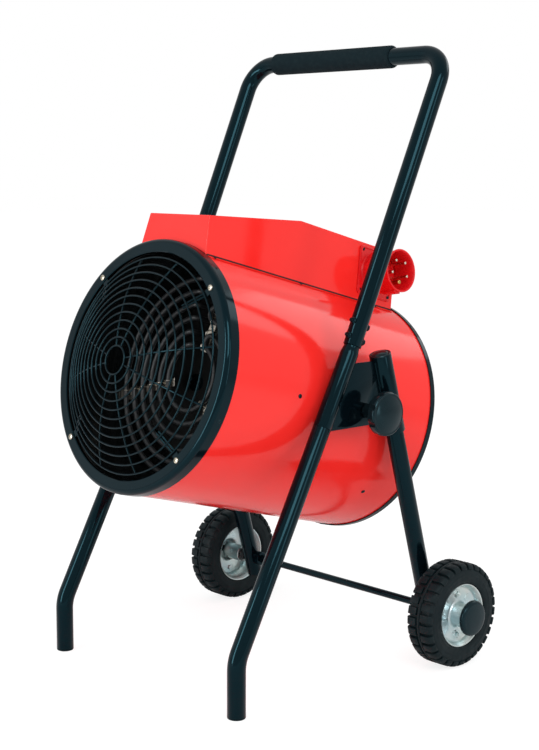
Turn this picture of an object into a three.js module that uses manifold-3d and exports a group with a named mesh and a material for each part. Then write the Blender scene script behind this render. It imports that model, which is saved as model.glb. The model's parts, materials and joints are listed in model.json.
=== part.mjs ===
// Forced air heater on a two-wheeled trolley frame.
// Millimetres. X runs across the heater, +X on the side of the mains inlet.
// +Y runs from the warm air outlet to the back. Z is up, and the floor is z = 0.
import * as THREE from 'three';
import { mergeVertices } from 'three/addons/utils/BufferGeometryUtils.js';
import Module from 'manifold-3d';

const wasm = await Module();
wasm.setup();

// ---------------------------------------------------------------- clearances
const slideFit = 0.5;        // gap round a piece that slides into another
const seatGap = 0.3;         // gap between two faces that rest on each other
const runningGap = 1;        // gap beside a turning piece

// ---------------------------------------------------------------- frame tubes
const tubeDiameter = 28;
const tubeWall = 1.5;
const sideSpacing = 429;     // between the planes of the two side frames
const footHeight = 85;       // floor to the bend of a front leg
const legBendRadius = 60;
const legLean = 27.9 * Math.PI / 180;
const legTopHeight = 409.7;  // where a front leg meets its side bracket
const spigotLength = 48;     // of each tube end that plugs into the next tube
const handleEndHeight = 529; // lower end of the handle
const neckLength = 14;       // tapered neck below the handle
const handleTopY = 435;      // axis of the handle's cross bar
const handleTopZ = 975;
const handleTopSpread = 445; // between the handle's sides at the top
const handleBendRadius = 46;
const footCapThickness = 2.5;
const footCapPlug = 12;

// ---------------------------------------------------------------- hand grip
const gripDiameter = 37;
const gripEndNear = 109;     // x of the grip's ends on the cross bar
const gripEndFar = -167;
const gripEndRounding = 5;

// ---------------------------------------------------------------- side bracket and rear leg
const plateThickness = 4;
const plateBelowHandle = 27; // top edge of the plate below the handle's end
const plateBottom = 403;
const socketWall = 2.7;
const socketTopY = 298;
const socketTopZ = 510;
const socketLength = 128;
const rearLegInset = 16;     // top of the rear leg below the top of its socket
const rearLegOverhang = 34;  // rear leg beyond the axle
const socketCapRim = 2;
const socketCapRise = 3;
const socketCapPlug = 12;

// ---------------------------------------------------------------- handle bolts
const boltDiameter = 6;
const boltHeadDiameter = 11;
const boltHeadHeight = 3.4;
const nutWidth = 11;
const nutHeight = 5.5;
const boltTip = 3;
const boltFirst = 12.5;      // lower bolt above the handle's lower end
const boltPitch = 23.5;

// ---------------------------------------------------------------- axle and wheels
const axleY = 420;
const axleDiameter = 12;
const wheelDiameter = 170;
const tyreWidth = 51;
const tyreShoulder = 9;
const tyreBead = 4;          // tyre's side beside the rim's edge
const rimDiameter = 102.8;
const rimWidth = 42.4;       // between the rim's two edges
const rimWellDiameter = 90;
const rimSheet = 3;
const beadSeat = 7;          // slope of the rim's bead seat
const discOffset = 10;       // wheel disc outboard of the wheel's middle
const hubInner = 29;         // inner end of the hub from the wheel's middle
const hubDiameter = 24;
const bossDiameterOutside = 38;
const bossFlare = 5;         // flare of the boss where it leaves the disc
const bossEnd = 38.6;        // outer end of the boss from the wheel's middle
const wheelSpacing = 533.2;  // between the middles of the two wheels
const hubCapDiameter = 57;
const hubCapRim = 4;         // height of the hub cap's straight rim
const hubCapFace = 49;       // hub cap's crown outboard of the wheel's middle
const hubCapWall = 2.5;
const axleEndGap = 2;        // axle end inside the cap
const collarLength = 14;
const collarDiameter = 24;
const spacerDiameter = 20;

// ---------------------------------------------------------------- tilting drum
const pivotY = 266;
const pivotZ = 426.3;
const restTilt = 15 * Math.PI / 180;
const drumRadius = 195.5;
const drumWall = 1.5;
const drumLength = 470;
const pivotFromFront = 284;  // front face of the drum to its pivot
const ringSheet = 1.4;
const ringOpening = 352;     // clear diameter of the front and rear rings
const ringRoll = 8;          // rounded outer edge
const frontSkirt = 23;
const rearSkirt = 12;
const rearRoll = 4;
const screwCircle = 365;
const screwAngle = 45.5 * Math.PI / 180;
const screwDiameter = 5;
const screwHead = 9.5;
const screwHeadHeight = 2.6;
const screwLength = 12;

// ---------------------------------------------------------------- pivot studs and clamp knobs
const studDiameter = 12;
const studHeadDiameter = 30;
const studHeadThickness = 5;
const bossDiameter = 46;
const knobDiameter = 68;
const knobLobes = 8;
const knobLobeDepth = 3.5;
const knobHubDiameter = 22;
const knobHubLength = 32.5;
const knobHeadThickness = 14;
const knobCrown = 6;
const knobWallOverStud = 6;

// ---------------------------------------------------------------- wire guards
const wireDiameter = 3;
const guardHubRadius = 22;
const guardOuterRadius = 167;
const frontGuardRings = 12;
const frontGuardSpokes = [15, 75, 105, 165, 195, 255, 285, 345]; // degrees from the top
const rearGuardRings = 7;
const rearGuardSpokes = [0, 90, 180, 270];
const frontGuardRise = 46;
const rearGuardRise = 6;
const spokeOffset = 1.2;     // of a spoke behind the rings, in wire radii
const eyeletWidth = 11;
const eyeletThickness = 2.4;
const eyeletLap = 5;         // of an eyelet strip inside the outermost ring
const hairpinReach = 34;     // of the eyelets' wires inside the outermost ring
const hairpinSpacing = 5;    // between the two wires of a hairpin

// ---------------------------------------------------------------- heat shield and heating elements
const linerInnerRadius = 176.6;
const linerWall = 1.2;
const linerFront = 8;        // behind the drum's front face
const linerLength = 190;
const elementDiameter = 8.5;
const elementOuterRadius = 158;
const elementPitch = 42;     // from one element to the next one inwards
const elementTurnGap = 21;   // between the two turns of one element
const elementCount = 3;
const elementDepth = 108;    // behind the drum's front face
const elementTail = 36;
const bracketCount = 3;
const bracketFirstAngle = 15 * Math.PI / 180;
const bracketWidth = 20;
const bracketSheet = 2;
const bracketInner = 44;
const bracketFoot = 26;

// ---------------------------------------------------------------- fan and motor
const fanDiameter = 310;
const fanBlades = 5;
const fanBladeSheet = 2.5;
const fanPitch = 28 * Math.PI / 180;
const fanHubDiameter = 84;
const fanHubLength = 34;
const fanMiddle = 335;       // behind the drum's front face
const motorDiameter = 104;
const motorLength = 76;
const motorShaftDiameter = 10;
const motorMountThickness = 3;
const motorMountArm = 26;
const motorMountRing = 14;
const motorMountPlace = 28;  // mount behind the motor's front

// ---------------------------------------------------------------- control box
const boxFront = 21;         // behind the drum's front face
const boxRear = 446;
const boxApex = 216;
const boxFrontHeight = 240;  // above the drum's axis
const boxHeight = 278.5;
const boxBaseHeight = 183;
const boxBaseHalfWidth = 79;
const boxSplay = 8.25 * Math.PI / 180;
const boxSheet = 1.5;
const panelThickness = 2;
const panelInset = 4;        // of the control panel in the box's rear end

// ---------------------------------------------------------------- mains inlet
const inletPlace = 396.5;    // behind the drum's front face
const inletHeight = 232.5;   // above the drum's axis
const flangeSize = 82;
const flangeThickness = 4.5;
const flangeCorner = 6;
const shroudDiameter = 67;
const shroudWall = 3.5;
const shroudLength = 55;
const shroudFlare = 2.2;     // of the shroud's mouth, to each side
const shroudLip = 9;         // length of the flared mouth
const socketFloor = 10;      // floor of the plug recess above the flange's face
const pinCircle = 38;
const pinDiameter = 5;
const earthPinDiameter = 7;
const pinRecess = 1.5;       // pin tips below the shroud's edge
const pinCarrierThickness = 6;
const keyWidth = 12;
const keyHeight = 4.5;
const keyLength = 30;

// ---------------------------------------------------------------- controls
const controlHeight = 238;   // above the drum's axis
const dialDiameter = 38;
const dialHeight = 15;
const dialSkirt = 3;
const dialShaftDiameter = 6;
const dialShaftLength = 14;
const dialSpacing = 62;
const lampDiameter = 12;
const lampHeight = 4;
const resetDiameter = 10;
const resetHeight = 5;
const resetPlunger = 12;

// ---------------------------------------------------------------- derived sizes
const sideX = sideSpacing / 2;
const tubeRadius = tubeDiameter / 2;
const boreRadius = tubeRadius - tubeWall;
const spigotRadius = boreRadius - slideFit;
const socketBore = tubeRadius + slideFit;
const socketRadius = socketBore + socketWall;
const wheelRadius = wheelDiameter / 2;
const axleZ = wheelRadius;
const axleBore = axleDiameter / 2 + slideFit;
const wheelX = wheelSpacing / 2;
const shellInner = drumRadius - drumWall;
const ringInner = drumRadius + slideFit;
const ringOuter = ringInner + ringSheet;
const drumFront = -pivotFromFront;
const drumRear = drumFront + drumLength;
const roundSides = 12;
const drumSides = 36;
const wheelSides = 28;
const knobSides = 16;
const motorSides = 20;
const smallSides = 8;

const upright = new THREE.Vector3(0, 0, 1);
const sideways = new THREE.Vector3(1, 0, 0);
const along = new THREE.Vector3(0, 1, 0);
const point = (x, y, z) => new THREE.Vector3(x, y, z);
const legY = (z) => (z - footHeight) * Math.tan(legLean);
const legDirection = point(0, Math.sin(legLean), Math.cos(legLean));

// ---------------------------------------------------------------- looks
function finish(color, roughness, metalness) {
  return new THREE.MeshStandardMaterial({ color, roughness, metalness });
}
const looks = {
  blackPaint: () => finish(0x1a2226, 0.18, 0.1),
  redPaint: () => finish(0xe8392f, 0.25, 0.05),
  foam: () => finish(0x202427, 0.95, 0),
  blackPlastic: () => finish(0x1b2023, 0.4, 0),
  rubber: () => finish(0x23282a, 0.8, 0),
  zinc: () => finish(0xc3c7ca, 0.35, 0.9),
  darkSteel: () => finish(0x3b3f42, 0.5, 0.7),
  redPlastic: () => finish(0xd9231f, 0.35, 0),
  brightMetal: () => finish(0xd8d8d6, 0.2, 1),
  motorGrey: () => finish(0x4a4f52, 0.45, 0.6),
  lampAmber: () => finish(0xf0961e, 0.15, 0),
};

// ---------------------------------------------------------------- solids
function signedVolume(positions, triangles) {
  const a = new THREE.Vector3();
  const b = new THREE.Vector3();
  const c = new THREE.Vector3();
  let volume = 0;
  for (let i = 0; i < triangles.length; i += 3) {
    a.fromArray(positions, triangles[i] * 3);
    b.fromArray(positions, triangles[i + 1] * 3);
    c.fromArray(positions, triangles[i + 2] * 3);
    volume += a.dot(b.cross(c)) / 6;
  }
  return volume;
}

// A closed geometry as a solid, with its faces turned outwards.
function solid(geometry) {
  const bare = geometry.clone();
  bare.deleteAttribute('normal');
  bare.deleteAttribute('uv');
  const welded = mergeVertices(bare, 1e-4);
  const positions = Float32Array.from(welded.attributes.position.array);
  const source = welded.index.array;
  const triangles = [];
  for (let i = 0; i < source.length; i += 3) {
    const [a, b, c] = [source[i], source[i + 1], source[i + 2]];
    if (a !== b && b !== c && c !== a) triangles.push(a, b, c);
  }
  if (signedVolume(positions, triangles) < 0) triangles.reverse();
  const mesh = new wasm.Mesh({
    numProp: 3,
    vertProperties: positions,
    triVerts: Uint32Array.from(triangles),
  });
  return new wasm.Manifold(mesh);
}

const join = (...solids) => solids.reduce((whole, next) => whole.add(next));
const cut = (whole, ...tools) => tools.reduce((rest, tool) => rest.subtract(tool), whole);

function geometryOf(body) {
  const mesh = body.getMesh();
  const geometry = new THREE.BufferGeometry();
  geometry.setAttribute('position', new THREE.BufferAttribute(mesh.vertProperties, 3));
  geometry.setIndex(new THREE.BufferAttribute(mesh.triVerts, 1));
  geometry.computeVertexNormals();
  return geometry;
}

function addPiece(parent, name, body, material) {
  const mesh = new THREE.Mesh(geometryOf(body), material);
  mesh.name = name;
  parent.add(mesh);
  return mesh;
}

// Round bar or cone between two points.
function rod(from, to, radius, sides = roundSides, endRadius = radius) {
  const run = to.clone().sub(from);
  const geometry = new THREE.CylinderGeometry(endRadius, radius, run.length(), sides);
  geometry.translate(0, run.length() / 2, 0);
  geometry.applyQuaternion(new THREE.Quaternion().setFromUnitVectors(along, run.normalize()));
  geometry.translate(from.x, from.y, from.z);
  return solid(geometry);
}

// Hexagonal bar between two points.
const hexBar = (from, to, width) => rod(from, to, width / 2 / Math.cos(Math.PI / 6), 6);

function block(sizeX, sizeY, sizeZ, centre) {
  const geometry = new THREE.BoxGeometry(sizeX, sizeY, sizeZ);
  geometry.translate(centre.x, centre.y, centre.z);
  return solid(geometry);
}

// Profile of [radius, distance] corners turned about the Y axis.
function turned(profile, sides = drumSides) {
  const corners = profile.map(([radius, distance]) => new THREE.Vector2(radius, distance));
  const [first, last] = [corners[0], corners[corners.length - 1]];
  if (first.x > 0 || last.x > 0) corners.push(first.clone());
  return solid(new THREE.LatheGeometry(corners, sides));
}

// The same, turned about the X axis: distance runs along +X from place.
function turnedAcross(profile, place, sides = 32, direction = 1) {
  const turn = new THREE.Matrix4().makeRotationZ(-direction * Math.PI / 2);
  turn.setPosition(place);
  return turned(profile, sides).transform(turn.elements);
}

// A path through stations, each with its own direction.
class StationPath extends THREE.Curve {
  constructor(stations) {
    super();
    this.stations = stations;
  }

  at(share) {
    const last = this.stations.length - 1;
    return this.stations[Math.round(share * last)];
  }

  getPoint(share) {
    return this.at(share).place.clone();
  }

  getPointAt(share) {
    return this.getPoint(share);
  }

  getTangentAt(share) {
    return this.at(share).heading.clone();
  }
}

// Stations along straight runs between corners, with an arc of the given radius at each corner.
function bentStations(corners, radius, stepsPerBend) {
  const stations = [];
  const headings = [];
  for (let i = 1; i < corners.length; i += 1) {
    headings.push(corners[i].clone().sub(corners[i - 1]).normalize());
  }
  stations.push({ place: corners[0], heading: headings[0] });
  for (let i = 1; i < corners.length - 1; i += 1) {
    const before = headings[i - 1];
    const after = headings[i];
    const turn = before.angleTo(after);
    const reach = radius * Math.tan(turn / 2);
    const axis = before.clone().cross(after).normalize();
    const start = corners[i].clone().addScaledVector(before, -reach);
    const centre = start.clone().addScaledVector(axis.clone().cross(before), radius);
    for (let step = 0; step <= stepsPerBend; step += 1) {
      const angle = turn * step / stepsPerBend;
      const place = start.clone().sub(centre).applyAxisAngle(axis, angle).add(centre);
      stations.push({ place, heading: before.clone().applyAxisAngle(axis, angle) });
    }
  }
  const end = corners.length - 1;
  stations.push({ place: corners[end], heading: headings[end - 1] });
  return stations;
}

function disc(radius, sides) {
  const outline = new THREE.Shape();
  for (let i = 0; i < sides; i += 1) {
    const angle = 2 * Math.PI * (i + 0.5) / sides;
    const [x, y] = [radius * Math.cos(angle), radius * Math.sin(angle)];
    if (i === 0) outline.moveTo(x, y);
    else outline.lineTo(x, y);
  }
  outline.closePath();
  return outline;
}

// Round bar or tube swept along stations.
function swept(stations, radius, bore = 0, sides = roundSides) {
  const section = disc(radius, sides);
  if (bore > 0) section.holes.push(disc(bore, sides));
  const geometry = new THREE.ExtrudeGeometry(section, {
    steps: stations.length - 1,
    extrudePath: new StationPath(stations),
    bevelEnabled: false,
  });
  return solid(geometry);
}

// Flat outline in the XY plane, extruded along +Z.
function extruded(corners, depth) {
  const outline = new THREE.Shape(corners.map(([x, y]) => new THREE.Vector2(x, y)));
  return solid(new THREE.ExtrudeGeometry(outline, { depth, bevelEnabled: false }));
}

// Places a solid whose own axes are given as three directions.
function oriented(body, xAxis, yAxis, zAxis, place) {
  const frame = new THREE.Matrix4().makeBasis(xAxis, yAxis, zAxis);
  frame.setPosition(place);
  return body.transform(frame.elements);
}

const heater = new THREE.Group();
const sides = [{ label: 'right', sign: 1 }, { label: 'left', sign: -1 }];

// ---------------------------------------------------------------- handle
const handleCorner = (sign) => point(sign * handleTopSpread / 2, handleTopY, handleTopZ);
const handleEnd = (sign) => point(sign * sideX, legY(handleEndHeight), handleEndHeight);
const handleDirection = (sign) => handleCorner(sign).sub(handleEnd(sign)).normalize();
const handleCorners = [handleEnd(1), handleCorner(1), handleCorner(-1), handleEnd(-1)];
const handleTube = swept(bentStations(handleCorners, handleBendRadius, 4), tubeRadius, boreRadius);

function boltLine(sign, number) {
  const direction = handleDirection(sign);
  const across = direction.clone().cross(sideways).normalize();
  const rise = boltFirst + number * boltPitch;
  const centre = handleEnd(sign).addScaledVector(direction, rise);
  const at = (distance) => centre.clone().addScaledVector(across, distance);
  return at;
}

function boltHole(sign, number) {
  const at = boltLine(sign, number);
  return rod(at(-2 * tubeRadius), at(2 * tubeRadius), boltDiameter / 2 + slideFit, smallSides);
}

const boltHoles = (sign) => [boltHole(sign, 0), boltHole(sign, 1)];
addPiece(heater, 'handle', cut(handleTube, ...boltHoles(1), ...boltHoles(-1)), looks.blackPaint());

const gripRadius = gripDiameter / 2;
const gripBore = tubeRadius + slideFit;
const gripLength = gripEndNear - gripEndFar;
const gripProfile = [
  [gripBore, 0],
  [gripRadius - gripEndRounding, 0],
  [gripRadius, gripEndRounding],
  [gripRadius, gripLength - gripEndRounding],
  [gripRadius - gripEndRounding, gripLength],
  [gripBore, gripLength],
];
const gripStart = point(gripEndFar, handleTopY, handleTopZ);
addPiece(heater, 'handle_grip', turnedAcross(gripProfile, gripStart, roundSides), looks.foam());

// ---------------------------------------------------------------- side frames
const socketTop = (sign) => point(sign * sideX, socketTopY, socketTopZ);
const axleAt = (sign) => point(sign * sideX, axleY, axleZ);
const rearDirection = axleAt(1).sub(socketTop(1)).normalize();

function frontLeg(sign) {
  const foot = point(sign * sideX, 0, footCapThickness + seatGap);
  const bend = point(sign * sideX, 0, footHeight);
  const top = point(sign * sideX, legY(legTopHeight), legTopHeight);
  const tube = swept(bentStations([foot, bend, top], legBendRadius, 3), tubeRadius, boreRadius);
  const spigotFoot = top.clone().addScaledVector(legDirection, -spigotLength / 2);
  const spigotTop = top.clone().addScaledVector(legDirection, spigotLength);
  const plug = rod(spigotFoot, top, boreRadius + tubeWall / 2);
  return join(tube, plug, rod(spigotFoot, spigotTop, spigotRadius));
}

function footCap(sign) {
  const profile = [
    [0, 0],
    [tubeRadius - 1, 0],
    [tubeRadius, 1],
    [tubeRadius, footCapThickness],
    [spigotRadius, footCapThickness],
    [spigotRadius, footCapThickness + footCapPlug],
    [0, footCapThickness + footCapPlug],
  ];
  const turn = new THREE.Matrix4().makeRotationX(Math.PI / 2);
  turn.setPosition(point(sign * sideX, 0, 0));
  return turned(profile, roundSides).transform(turn.elements);
}

const plateTop = handleEndHeight - plateBelowHandle;

function sidePlate(sign) {
  const rearAxisY = (z) => socketTopY + (socketTopZ - z) * rearDirection.y / -rearDirection.z;
  const low = point(0, legY(legTopHeight), legTopHeight).addScaledVector(legDirection, 2 * seatGap);
  const backward = point(0, Math.cos(legLean), -Math.sin(legLean));
  const reach = Math.max(tubeRadius, (low.z - plateBottom) / Math.sin(legLean));
  const inTube = low.clone().addScaledVector(backward, tubeRadius / 2);
  const atEdge = low.clone().addScaledVector(backward, reach);
  const corners = [
    [inTube.y, inTube.z],
    [atEdge.y, atEdge.z],
    [rearAxisY(plateBottom), plateBottom],
    [rearAxisY(plateTop), plateTop],
    [legY(plateTop), plateTop],
  ];
  const plate = extruded(corners, plateThickness);
  const place = point(sign * sideX - plateThickness / 2, 0, 0);
  return oriented(plate, along, upright, sideways, place);
}

function sideBracket(sign) {
  const low = point(sign * sideX, legY(legTopHeight), legTopHeight);
  low.addScaledVector(legDirection, seatGap);
  const end = handleEnd(sign);
  const neckFoot = end.clone().addScaledVector(legDirection, -neckLength);
  const spigotTop = end.clone().addScaledVector(handleDirection(sign), spigotLength);
  const tube = rod(low, neckFoot, tubeRadius);
  const neck = rod(neckFoot, end, tubeRadius, roundSides, spigotRadius);
  const spigotFoot = end.clone().addScaledVector(handleDirection(sign), -neckLength / 2);
  const spigot = rod(spigotFoot, spigotTop, spigotRadius);
  const top = socketTop(sign);
  const socketEnd = top.clone().addScaledVector(rearDirection, socketLength);
  const socket = rod(top, socketEnd, socketRadius);
  const body = join(tube, neck, spigot, socket, sidePlate(sign));
  const tubeBoreTop = neckFoot.clone().addScaledVector(legDirection, -neckLength);
  const tubeBoreFoot = low.clone().addScaledVector(legDirection, -1);
  const tubeBore = rod(tubeBoreFoot, tubeBoreTop, boreRadius);
  const boreTop = top.clone().addScaledVector(rearDirection, -1);
  const boreEnd = socketEnd.clone().addScaledVector(rearDirection, 1);
  const reach = point(plateThickness + tubeRadius, 0, 0);
  const pivot = point(sign * sideX, pivotY, pivotZ);
  const studHole = rod(pivot.clone().sub(reach), pivot.clone().add(reach), studDiameter / 2 + slideFit);
  return cut(body, tubeBore, rod(boreTop, boreEnd, socketBore), studHole, ...boltHoles(sign));
}

function rearLeg(sign) {
  const top = socketTop(sign).addScaledVector(rearDirection, rearLegInset);
  const end = axleAt(sign).addScaledVector(rearDirection, rearLegOverhang);
  const past = end.clone().addScaledVector(rearDirection, 1);
  const before = top.clone().addScaledVector(rearDirection, -1);
  const reach = point(2 * tubeRadius, 0, 0);
  const hole = rod(axleAt(sign).sub(reach), axleAt(sign).add(reach), axleBore);
  return cut(rod(top, end, tubeRadius), rod(before, past, boreRadius), hole);
}

function socketCap(sign) {
  const profile = [
    [0, -socketCapPlug],
    [tubeRadius, -socketCapPlug],
    [tubeRadius, seatGap],
    [socketRadius, seatGap],
    [socketRadius, socketCapRim],
    [socketRadius * 0.75, socketCapRim + socketCapRise * 0.6],
    [socketRadius * 0.4, socketCapRim + socketCapRise * 0.92],
    [0, socketCapRim + socketCapRise],
  ];
  const up = rearDirection.clone().negate();
  return oriented(turned(profile, roundSides), sideways, up, sideways.clone().cross(up), socketTop(sign));
}

function handleBolt(sign, number) {
  const at = boltLine(sign, number);
  const seat = tubeRadius + seatGap;
  const head = rod(at(-seat), at(-seat - boltHeadHeight), boltHeadDiameter / 2, smallSides, boltHeadDiameter * 0.32);
  const nutEnd = seat + nutHeight;
  const shank = rod(at(-seat - 1), at(nutEnd + boltTip), boltDiameter / 2, smallSides);
  return join(head, shank, hexBar(at(seat), at(nutEnd), nutWidth));
}

for (const { label, sign } of sides) {
  addPiece(heater, `front_leg_${label}`, frontLeg(sign), looks.blackPaint());
  addPiece(heater, `front_foot_cap_${label}`, footCap(sign), looks.blackPlastic());
  addPiece(heater, `side_bracket_${label}`, sideBracket(sign), looks.blackPaint());
  addPiece(heater, `socket_cap_${label}`, socketCap(sign), looks.blackPlastic());
  addPiece(heater, `rear_leg_${label}`, rearLeg(sign), looks.blackPaint());
  addPiece(heater, `handle_bolt_lower_${label}`, handleBolt(sign, 0), looks.blackPaint());
  addPiece(heater, `handle_bolt_upper_${label}`, handleBolt(sign, 1), looks.blackPaint());
}

// ---------------------------------------------------------------- axle and wheels
const axleEnd = wheelX + hubCapFace - hubCapWall - axleEndGap;
const axlePoint = (x) => point(x, axleY, axleZ);
addPiece(heater, 'axle', rod(axlePoint(-axleEnd), axlePoint(axleEnd), axleDiameter / 2), looks.blackPaint());

const ringOf = (radius, bore, start, end) => [[bore, start], [radius, start], [radius, end], [bore, end]];

function tyre(place, direction) {
  const half = tyreWidth / 2;
  const well = rimWellDiameter / 2 + slideFit;
  const edge = rimWidth / 2;
  const bead = rimDiameter / 2 + slideFit;
  const profile = [
    [well, -edge + beadSeat],
    [bead, -edge],
    [bead + tyreBead, -half],
    [wheelRadius - tyreShoulder, -half],
    [wheelRadius, -half + tyreShoulder / 2],
    [wheelRadius, half - tyreShoulder / 2],
    [wheelRadius - tyreShoulder, half],
    [bead + tyreBead, half],
    [bead, edge],
    [well, edge - beadSeat],
  ];
  return turnedAcross(profile, place, wheelSides, direction);
}

// Rim, disc and hub in one: the boss on the outside carries the hub cap.
function rim(place, direction) {
  const edge = rimWidth / 2;
  const seat = edge - beadSeat;
  const lip = rimDiameter / 2;
  const well = rimWellDiameter / 2;
  const hub = hubDiameter / 2;
  const boss = bossDiameterOutside / 2;
  const profile = [
    [axleBore, -hubInner],
    [hub, -hubInner],
    [hub, discOffset - rimSheet],
    [well - rimSheet, discOffset - rimSheet],
    [well - rimSheet, -seat],
    [lip - rimSheet, -edge],
    [lip, -edge],
    [well, -seat],
    [well, seat],
    [lip, edge],
    [lip - rimSheet, edge],
    [well - rimSheet, discOffset],
    [boss + bossFlare, discOffset],
    [boss, discOffset + bossFlare],
    [boss, bossEnd],
    [axleBore, bossEnd],
  ];
  return turnedAcross(profile, place, wheelSides, direction);
}

function hubCap(place, direction) {
  const radius = hubCapDiameter / 2;
  const start = bossEnd + seatGap;
  const shoulder = start + hubCapRim;
  const rise = hubCapFace - shoulder;
  const bore = axleBore + seatGap;
  const profile = [
    [bore, start],
    [radius, start],
    [radius, shoulder],
    [radius * Math.cos(Math.PI / 4), shoulder + rise * Math.sin(Math.PI / 4)],
    [0, hubCapFace],
    [0, hubCapFace - hubCapWall],
    [bore, hubCapFace - hubCapWall],
    [bore, start],
  ];
  return turnedAcross(profile, place, knobSides, direction);
}

for (const { label, sign } of sides) {
  const middle = axlePoint(sign * wheelX);
  const legFace = sideX + tubeRadius;
  const spacerStart = sign * (legFace + seatGap);
  const spacerEnd = sign * (wheelX - hubInner - seatGap);
  const collarStart = sign * (sideX - tubeRadius - seatGap);
  const collarEnd = collarStart - sign * collarLength;
  const across = (from, to, radius) => {
    const bore = rod(axlePoint(from - sign), axlePoint(to + sign), axleBore);
    const boreBack = rod(axlePoint(from + sign), axlePoint(to - sign), axleBore);
    return cut(rod(axlePoint(from), axlePoint(to), radius), bore, boreBack);
  };
  addPiece(heater, `tyre_${label}`, tyre(middle, sign), looks.rubber());
  addPiece(heater, `wheel_rim_${label}`, rim(middle, sign), looks.zinc());
  addPiece(heater, `hub_cap_${label}`, hubCap(middle, sign), looks.blackPlastic());
  addPiece(heater, `wheel_spacer_${label}`, across(spacerStart, spacerEnd, spacerDiameter / 2), looks.blackPlastic());
  addPiece(heater, `axle_collar_${label}`, across(collarStart, collarEnd, collarDiameter / 2), looks.blackPaint());
}

// ---------------------------------------------------------------- clamp knobs
function clampKnob() {
  const outline = [];
  const steps = knobLobes * 3;
  for (let i = 0; i < steps; i += 1) {
    const angle = 2 * Math.PI * i / steps;
    const dip = knobLobeDepth * (1 - Math.abs(Math.cos(knobLobes * angle / 2)) ** 0.7);
    const radius = knobDiameter / 2 - dip;
    outline.push([radius * Math.cos(angle), radius * Math.sin(angle)]);
  }
  const start = sideX + plateThickness / 2 + seatGap;
  const headStart = start + knobHubLength;
  const headEnd = headStart + knobHeadThickness;
  const head = oriented(extruded(outline, knobHeadThickness + knobCrown), along, upright, sideways, point(headStart, 0, 0));
  const dome = [
    [0, headStart],
    [knobDiameter * 0.45, headStart],
    [knobDiameter * 0.5, headStart + knobHeadThickness * 0.25],
    [knobDiameter * 0.5, headEnd - knobHeadThickness * 0.3],
    [knobDiameter * 0.42, headEnd],
    [knobDiameter * 0.22, headEnd + knobCrown * 0.75],
    [0, headEnd + knobCrown],
  ];
  const rounded = head.intersect(turnedAcross(dome, point(0, 0, 0), knobSides));
  const hub = rod(point(start, 0, 0), point(headStart + 1, 0, 0), knobHubDiameter / 2);
  const boreEnd = headEnd + knobCrown - knobWallOverStud;
  const bore = rod(point(start - 1, 0, 0), point(boreEnd, 0, 0), studDiameter / 2 + slideFit);
  return { body: cut(join(rounded, hub), bore), boreEnd };
}

const knob = clampKnob();
const turnRound = new THREE.Matrix4().makeRotationZ(Math.PI);
for (const { label, sign } of sides) {
  const body = sign > 0 ? knob.body : knob.body.transform(turnRound.elements);
  const mesh = addPiece(heater, `clamp_knob_${label}`, body, looks.blackPlastic());
  mesh.position.set(0, pivotY, pivotZ);
}

// ---------------------------------------------------------------- tilting drum
// Inside this group the drum's axis is Y, and the pivot is the origin.
const drum = new THREE.Group();
drum.position.set(0, pivotY, pivotZ);
drum.rotation.x = -restTilt;
heater.add(drum);

const drumCylinder = (radius, start = drumFront - drumRadius, end = drumRear + drumRadius) => (
  turned([[0, start], [radius, start], [radius, end], [0, end]])
);

const shellTube = turned([
  [shellInner, drumFront + ringRoll + seatGap],
  [drumRadius, drumFront + ringRoll + seatGap],
  [drumRadius, drumRear - rearRoll - seatGap],
  [shellInner, drumRear - rearRoll - seatGap],
]);
const studHoleRadius = studDiameter / 2 + slideFit;
const studPassage = rod(point(-2 * drumRadius, 0, 0), point(2 * drumRadius, 0, 0), studHoleRadius);
addPiece(drum, 'drum_shell', cut(shellTube, studPassage), looks.redPaint());

function ringScrewPlaces(face) {
  const places = [];
  for (const right of [1, -1]) {
    for (const up of [1, -1]) {
      const x = right * screwCircle / 2 * Math.sin(screwAngle);
      const z = up * screwCircle / 2 * Math.cos(screwAngle);
      const label = `${up > 0 ? 'upper' : 'lower'}_${right > 0 ? 'right' : 'left'}`;
      places.push({ label, place: point(x, face, z) });
    }
  }
  return places;
}
const screwHoles = (face) => ringScrewPlaces(face).map(({ place }) => (
  rod(place.clone().add(point(0, -20, 0)), place.clone().add(point(0, 20, 0)), screwDiameter / 2 + slideFit, smallSides)
));

// Pressed end ring, its face at distance 0 and its skirt reaching towards +Y.
function endRing(roll, skirt) {
  const opening = ringOpening / 2;
  const outer = ringOuter;
  return turned([
    [opening, ringSheet],
    [opening, 0],
    [outer - roll, 0],
    [outer - roll * 0.29, roll * 0.29],
    [outer, roll],
    [outer, skirt],
    [ringInner, skirt],
    [ringInner, Math.max(roll, ringSheet)],
    [ringInner - Math.max(roll - ringSheet, 0.2), ringSheet],
  ]);
}
const toFront = new THREE.Matrix4().makeTranslation(0, drumFront, 0);
const toRear = new THREE.Matrix4().makeRotationX(Math.PI).setPosition(0, drumRear, 0);
const frontRing = endRing(ringRoll, frontSkirt).transform(toFront.elements);
const rearRing = endRing(rearRoll, rearSkirt).transform(toRear.elements);
addPiece(drum, 'front_ring', cut(frontRing, ...screwHoles(drumFront)), looks.blackPaint());
addPiece(drum, 'rear_ring', rearRing, looks.blackPaint());

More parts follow.
